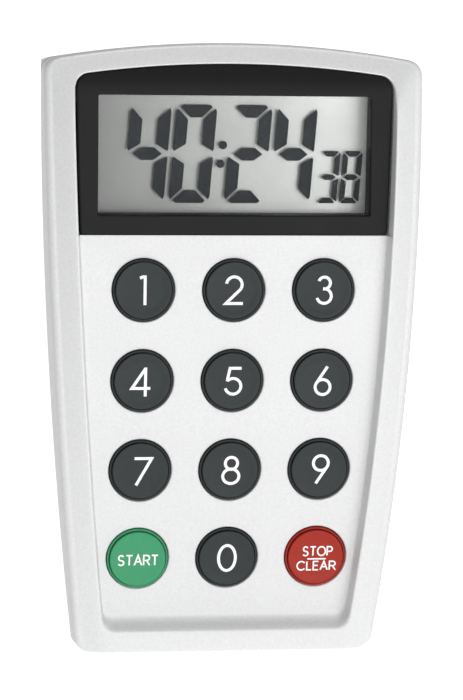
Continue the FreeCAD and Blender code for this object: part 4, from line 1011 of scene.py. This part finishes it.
studio = {
    "floorColor": (0.45, 0.45, 0.45), "floorHalf": 6.0, "backdropY": 3.6, "backdropRise": 3.5, "curve": 0.6,
    "floorShine": 0.93,
    "worldStrength": 0.09,
    # name, place, width and height, power, aim
    "lights": [("frontSoft", (0.20, -1.15, 0.13), (1.2, 0.26), 6.0, (0, 0, 0.055)),
               ("floorGlow", (0.40, -0.70, 0.01), (0.6, 0.35), 2.7, (0, 0, 0.06)),
               ("overhead", (0.1, -0.55, 0.95), (0.7, 0.4), 1.1, (0, 0, 0.055)),
               ("floorWash", (0, 0.95, 1.3), (1.5, 1.5), 5.0, (0, 0.95, 0))],
    "azimuth": -9.858, "elevation": 7.645, "roll": 1.138, "distance": 0.680,
    "target": (-0.00024, -0.00685, 0.05576), "lens": 293.77, "sensor": 36.0,
}


def buildFloor():
    # a flat floor that curves up into a backdrop: a profile in y and z carried along x
    half, y0, r = studio["floorHalf"], studio["backdropY"], studio["curve"]
    a = np.linspace(-math.pi / 2, 0, 16)
    curve = [(y0 - r + r * math.cos(t), r + r * math.sin(t)) for t in a]
    profile = np.array([(-half, 0.0)] + curve + [(y0, studio["backdropRise"])])
    points = np.c_[np.repeat([-half, half], len(profile)), np.tile(profile, (2, 1))]
    mesh = bpy.data.meshes.new("studio_floor")
    mesh.from_pydata(points.tolist(), [], gridFaces(2, len(profile))[:, ::-1].tolist())
    mesh.shade_smooth()
    floor = bpy.data.objects.new("studio_floor", mesh)
    scene.collection.objects.link(floor)
    material, tree, shader = newMaterial("floorPaper", Roughness=0.8, Emission_Color=(1, 1, 1, 1),
                                         Emission_Strength=studio["floorShine"])
    where = addNode(tree, "ShaderNodeTexCoord")
    paper = addNode(tree, "ShaderNodeTexNoise", {"Scale": 400.0})
    tint = addNode(tree, "ShaderNodeMix", data_type="RGBA")
    tint.inputs[6].default_value = (*[c * 0.985 for c in studio["floorColor"]], 1)
    tint.inputs[7].default_value = (*studio["floorColor"], 1)
    tree.links.new(where.outputs["Object"], paper.inputs["Vector"])
    tree.links.new(paper.outputs["Fac"], tint.inputs["Factor"])
    tree.links.new(tint.outputs[2], shader.inputs["Base Color"])
    mesh.materials.append(material)


def aimedAt(place, target):
    return (Vector(target) - Vector(place)).to_track_quat("-Z", "Y").to_euler()


buildFloor()
for name, place, size, power, aim in studio["lights"]:
    lamp = bpy.data.lights.new(name, "AREA")
    lamp.shape, lamp.energy = "RECTANGLE", power
    lamp.size, lamp.size_y = size
    holder = bpy.data.objects.new(name, lamp)
    holder.location, holder.rotation_euler = place, aimedAt(place, aim)
    scene.collection.objects.link(holder)

world = bpy.data.worlds.new("studio")
world.use_nodes = True
world.node_tree.nodes["Background"].inputs["Color"].default_value = (1, 1, 1, 1)
world.node_tree.nodes["Background"].inputs["Strength"].default_value = studio["worldStrength"]
scene.world = world
scene.view_settings.view_transform = "Standard"
scene.cycles.transparent_max_bounces = 24   # window and two glass sheets, crossed by sight and by light

# the camera looks at the target from its azimuth and elevation, rolled a little about its own axis
azimuth, elevation, roll = (math.radians(studio[k]) for k in ("azimuth", "elevation", "roll"))
back = Vector((math.sin(azimuth) * math.cos(elevation), -math.cos(azimuth) * math.cos(elevation),
               math.sin(elevation)))
level = Vector((math.cos(azimuth), math.sin(azimuth), 0))
upright = back.cross(level)
right = level * math.cos(roll) + upright * math.sin(roll)
up = upright * math.cos(roll) - level * math.sin(roll)
lens = bpy.data.cameras.new("camera")
lens.sensor_fit, lens.sensor_width, lens.lens = "HORIZONTAL", studio["sensor"], studio["lens"]
lens.clip_start, lens.clip_end = 0.01, 20
camera = bpy.data.objects.new("camera", lens)
place = Vector(studio["target"]) + back * studio["distance"]
camera.matrix_world = Matrix((right, up, back)).transposed().to_4x4()
camera.location = place
scene.collection.objects.link(camera)
scene.camera = camera
print("timer: studio")
